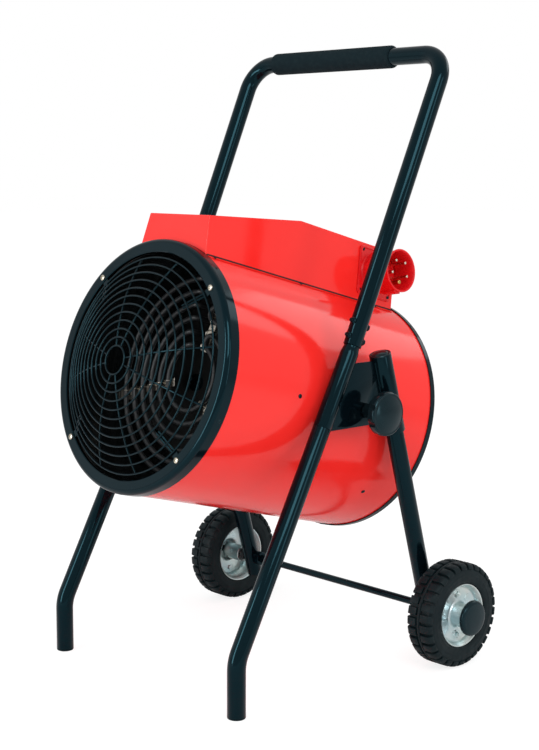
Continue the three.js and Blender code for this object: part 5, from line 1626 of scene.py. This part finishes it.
def dial(name, x):
    line = [(0, 0.0004), (DIAL - 0.0004, 0.0004), (DIAL, 0.0008), (DIAL, 0.0026), (DIAL - 0.0006, 0.0032),
            (0.0150, 0.0036), (0.0142, 0.0046), (0.0132, 0.0138), (0.0122, 0.0149), (0.0060, 0.0146),
            (0, 0.0144)]
    body = turned("body", line, 96)
    flute = turned("flute", [(0, 0.0050), (0.0011, 0.0050), (0.0011, 0.0170), (0, 0.0170)], 10)
    place(flute, Matrix.Translation((0, 0, 0.0144)))
    place(flute, Matrix.Rotation(math.radians(9), 4, "Y"))
    cut_away(body, spin_copies(flute, 20))
    stem = turned("stem", [(0, -0.0136), (0.0028, -0.0136), (0.0028, 0.001), (0, 0.001)], 24)
    pointer_corners = ((-0.0006, 0.0020), (0.0006, 0.0020), (0.0006, 0.0118), (-0.0006, 0.0118))
    pointer_line = [Vector((a, 0.0143, b)) for a, b in pointer_corners]
    pointer = sheet_of("pointer", pointer_line, Vector((0, 0.0006, 0)))
    body = join(name, body, stem)
    body.data.materials.append(black_plastic.material)
    pointer.data.materials.append(dial_white.material)
    whole = join(name, body, pointer)
    return place(whole, Matrix.Translation((x, PANEL_FACE, DIAL_HEIGHT)))


for label, x in (("selector", -DIAL_X), ("thermostat", DIAL_X)):
    body = f"{label}_knob"
    finish_on_drum(dial(f"{label}_dial", x), None, "black_plastic", body, body=body, smooth=40)

lens_line = [(0, 0.0039), (0.0024, 0.0037), (0.0042, 0.0028), (0.0047, 0.0016)]
lamp_line = [(0.0047, 0.0012), (0.0058, 0.0012), (0.0060, 0.0008), (0.0060, 0.0003), (0.0037, 0.0003),
             (0.0037, -0.0078), (0, -0.0078)]
lamp = turned("signal_lamp", lens_line + lamp_line, 48)
place(lamp, Matrix.Translation((LAMP_X, PANEL_FACE, LOW_HEIGHT)))
finish_on_drum(lamp, lamp_glass, "lamp_lens", "power_lamp", smooth=40)

button_line = [(0, 0.0044), (0.0036, 0.0048), (0.0044, 0.0044), (0.0048, 0.0036), (0.0048, -0.0024),
               (0.0038, -0.0026), (0.0038, -0.0116), (0, -0.0116)]
button = turned("reset_cap", button_line, 48)
place(button, Matrix.Translation((RESET_X, PANEL_FACE, LOW_HEIGHT)))
finish_on_drum(button, red_plastic, "red_plastic", "reset_button", smooth=40, body="reset_button")

# %% [markdown]
# ## Power inlet
# The inlet is moulded in red plastic: a square flange with a raised border, and a round shroud that flares at
# its mouth. Five pins stand in it on a circle. The earth pin is thicker and is the one at the bottom.

# %% Inlet housing
FLANGE = 0.041
FLANGE_HEIGHT = 0.0045
BORDER_FROM = 0.0024
SCREW_AT = 0.0345
SHROUD = 0.0335
SHROUD_WALL = 0.0035
INLET_TOP = 0.0595
MOUTH = 0.0357
LIP = 0.009
FLOOR = 0.0145


def rounded_square(half, corner, height):
    """Points round a square with rounded corners, at a height above the box's side."""
    points = []
    for quarter in range(4):
        centre = Vector((half - corner, half - corner))
        for step in range(7):
            turn = math.radians(step * 15)
            spot = centre + corner * Vector((math.cos(turn), math.sin(turn)))
            x, z = Matrix.Rotation(quarter * math.pi / 2, 2) @ spot
            points.append(Vector((x, height, z)))
    return points


flange = sheet_of("flange", rounded_square(FLANGE - 0.0002, 0.006, 0.0003), Vector((0, 0.0030, 0)))
soften(flange, 0.0007, 2, 50)
border_out = sheet_of("border", rounded_square(FLANGE - 0.0016, 0.0052, BORDER_FROM),
                      Vector((0, FLANGE_HEIGHT - BORDER_FROM, 0)))
border_in = sheet_of("border_in", rounded_square(FLANGE - 0.0040, 0.0040, 0.002), Vector((0, 0.01, 0)))
cut_away(border_out, border_in)
soften(border_out, 0.0004, 2, 50)
outer = [(SHROUD + 0.0022, 0.0030), (SHROUD + 0.0006, 0.0042), (SHROUD, 0.0062)]
outer += [(SHROUD, INLET_TOP - LIP - 0.012), (SHROUD + 0.0004, INLET_TOP - LIP - 0.004),
          (SHROUD + 0.0012, INLET_TOP - 0.005), (MOUTH, INLET_TOP - 0.0018), (MOUTH, INLET_TOP - 0.0005),
          (MOUTH - 0.0006, INLET_TOP)]
INLET_BORE = SHROUD - SHROUD_WALL
bore = [(MOUTH - 0.0026, INLET_TOP), (MOUTH - 0.0034, INLET_TOP - 0.0010),
        (INLET_BORE + 0.0008, INLET_TOP - LIP), (INLET_BORE, INLET_TOP - LIP - 0.006), (INLET_BORE, FLOOR),
        (0.0, FLOOR)]
shroud = turned("shroud", [(0, 0.0006), (SHROUD + 0.0022, 0.0006)] + outer + bore, 96)
flange_tool = turned("tool", [(0, -0.01), (SHROUD - 0.001, -0.01), (SHROUD - 0.001, 0.02), (0, 0.02)], 64)
cut_away(flange, flange_tool)
KEY = 0.006
key_top = -SHROUD + 0.002
key_foot = -SHROUD - 0.0042
key_section = [(-KEY, key_top), (-KEY, key_foot), (KEY, key_foot), (KEY, key_top)]
key = sheet_of("key", [Vector((x, INLET_TOP - 0.034, z)) for x, z in key_section], Vector((0, 0.0295, 0)))
soften(key, 0.0006, 2, 50)
corner_screws = []
for right in (1, -1):
    for up in (1, -1):
        screw = pan_screw(0.0032, 0.0015, right * 0.5 + up)
        corner_screws.append(place(screw, Matrix.Translation((right * SCREW_AT, 0.0032, up * SCREW_AT))))
inlet = join("inlet_body", flange, border_out, shroud, key)
place(inlet, INLET_FRAME)
finish_on_drum(inlet, red_plastic, "red_plastic", "inlet_housing", smooth=40)
flange_screws = join("flange_screws", *corner_screws)
place(flange_screws, INLET_FRAME)
finish_on_drum(flange_screws, gloss_plastic, "black_paint")

# %% Pins
PIN_CIRCLE = 0.019
PIN_ROUND = 0.0016
PIN_TIP = INLET_TOP - 0.0015
PIN_COUNT = 5
PIN = 0.0025
EARTH_PIN = 0.0035


def pin(radius):
    tip = arc((radius - PIN_ROUND, PIN_TIP - PIN_ROUND), PIN_ROUND, 0, 90, 4)
    return turned("pin", [(0, FLOOR + 0.0004), (radius, FLOOR + 0.0004)] + tip + [(0, PIN_TIP)], 24)


pins = []
for step in range(PIN_COUNT):
    angle = math.pi + step * math.tau / PIN_COUNT
    earth = step == 0
    one = pin(EARTH_PIN if earth else PIN)
    one.data.materials.append(brass.material if earth else pin_metal.material)
    spot = (PIN_CIRCLE * math.sin(angle), 0, PIN_CIRCLE * math.cos(angle))
    pins.append(place(one, Matrix.Translation(spot)))
carrier = turned("carrier", [(0, FLOOR + 0.0003), (0.0275, FLOOR + 0.0003), (0.0275, FLOOR + 0.0050),
                             (0.0268, FLOOR + 0.0058), (0, FLOOR + 0.0058)], 64)
carrier.data.materials.append(red_plastic.material)
contacts = join("inlet_contacts", *pins, carrier)
place(contacts, INLET_FRAME)
finish_on_drum(contacts, None, "contact_metal", "inlet_pins", smooth=40)

# %% [markdown]
# ## Floor, light and background
# The heater stands on a plain white floor that keeps its shadow. Five soft lamps light it: a key from the
# front right, a rim lamp behind, a tall panel in front and one on the right that draw the bright lines along
# the tubes, and a wide panel on the left so dim that the black rings, which mirror it, stay black. The world
# is white where the camera or glass looks at it, and softer where it lights the heater or is mirrored in it.

# %% Floor
bpy.ops.mesh.primitive_plane_add(size=40)
floor = bpy.context.object
floor.name = "floor"
FLOOR_GLOW = 1.33
FLOOR_GLOW_SHARE = 0.6
floor_finish = bpy.data.materials.new("white_floor")
floor_finish.use_nodes = True
floor_nodes = floor_finish.node_tree.nodes
floor_links = floor_finish.node_tree.links
floor_shader = floor_nodes["Principled BSDF"]
floor_shader.inputs["Base Color"].default_value = (0.86, 0.86, 0.86, 1)
floor_shader.inputs["Roughness"].default_value = 0.9
floor_shader.inputs["Specular IOR Level"].default_value = 0
glow = floor_nodes.new("ShaderNodeEmission")
glow.inputs["Strength"].default_value = FLOOR_GLOW
blend = floor_nodes.new("ShaderNodeMixShader")
rays = floor_nodes.new("ShaderNodeLightPath")
seen = floor_nodes.new("ShaderNodeMath")
seen.operation = "MULTIPLY"
seen.inputs[1].default_value = FLOOR_GLOW_SHARE
floor_links.new(rays.outputs["Is Camera Ray"], seen.inputs[0])
floor_links.new(seen.outputs["Value"], blend.inputs["Fac"])
floor_links.new(floor_shader.outputs["BSDF"], blend.inputs[1])
floor_links.new(glow.outputs["Emission"], blend.inputs[2])
floor_links.new(blend.outputs["Shader"], floor_nodes["Material Output"].inputs["Surface"])
floor.data.materials.append(floor_finish)
print("floor laid")

# %% World
ROOM_LIGHT = 0.66
world = bpy.data.worlds.new("studio")
bpy.context.scene.world = world
world.use_nodes = True
sky_nodes = world.node_tree.nodes
sky_links = world.node_tree.links
sky = sky_nodes["Background"]
rays = sky_nodes.new("ShaderNodeLightPath")
either = sky_nodes.new("ShaderNodeMath")
either.operation = "MAXIMUM"
sky_links.new(rays.outputs["Is Camera Ray"], either.inputs[0])
sky_links.new(rays.outputs["Is Transmission Ray"], either.inputs[1])
strength = sky_nodes.new("ShaderNodeMapRange")
strength.inputs["To Min"].default_value = ROOM_LIGHT
strength.inputs["To Max"].default_value = 1
sky_links.new(either.outputs["Value"], strength.inputs["Value"])
sky_links.new(strength.outputs["Result"], sky.inputs["Strength"])
sky.inputs["Color"].default_value = (1, 1, 1, 1)
print("world set")


# %% Lamps
def softbox(name, place, aim, width, height, power):
    bpy.ops.object.light_add(type="AREA", location=place)
    lamp = bpy.context.object
    lamp.name = name
    lamp.data.shape = "RECTANGLE"
    lamp.data.size = width
    lamp.data.size_y = height
    lamp.data.energy = power
    lamp.rotation_euler = (Vector(aim) - Vector(place)).to_track_quat("-Z", "Y").to_euler()
    return lamp


softbox("key_light", (2.0, -1.2, 2.2), (0, 0, 0.45), 1.2, 1.2, 25)
softbox("fill_light", (-1.8, -2.2, 1.4), (0, 0, 0.45), 1.4, 1.8, 1.5)
softbox("rim_light", (0.6, 2.4, 1.9), (0, 0, 0.5), 1.6, 0.8, 6)
softbox("left_light", (-0.5, -2.9, 1.1), (0, 0, 0.5), 0.7, 1.9, 34)
softbox("right_light", (2.9, 0.5, 1.1), (0, 0, 0.5), 0.5, 1.9, 9)
bpy.context.scene.view_settings.view_transform = "Standard"
print("lamps:", len(bpy.data.lights))
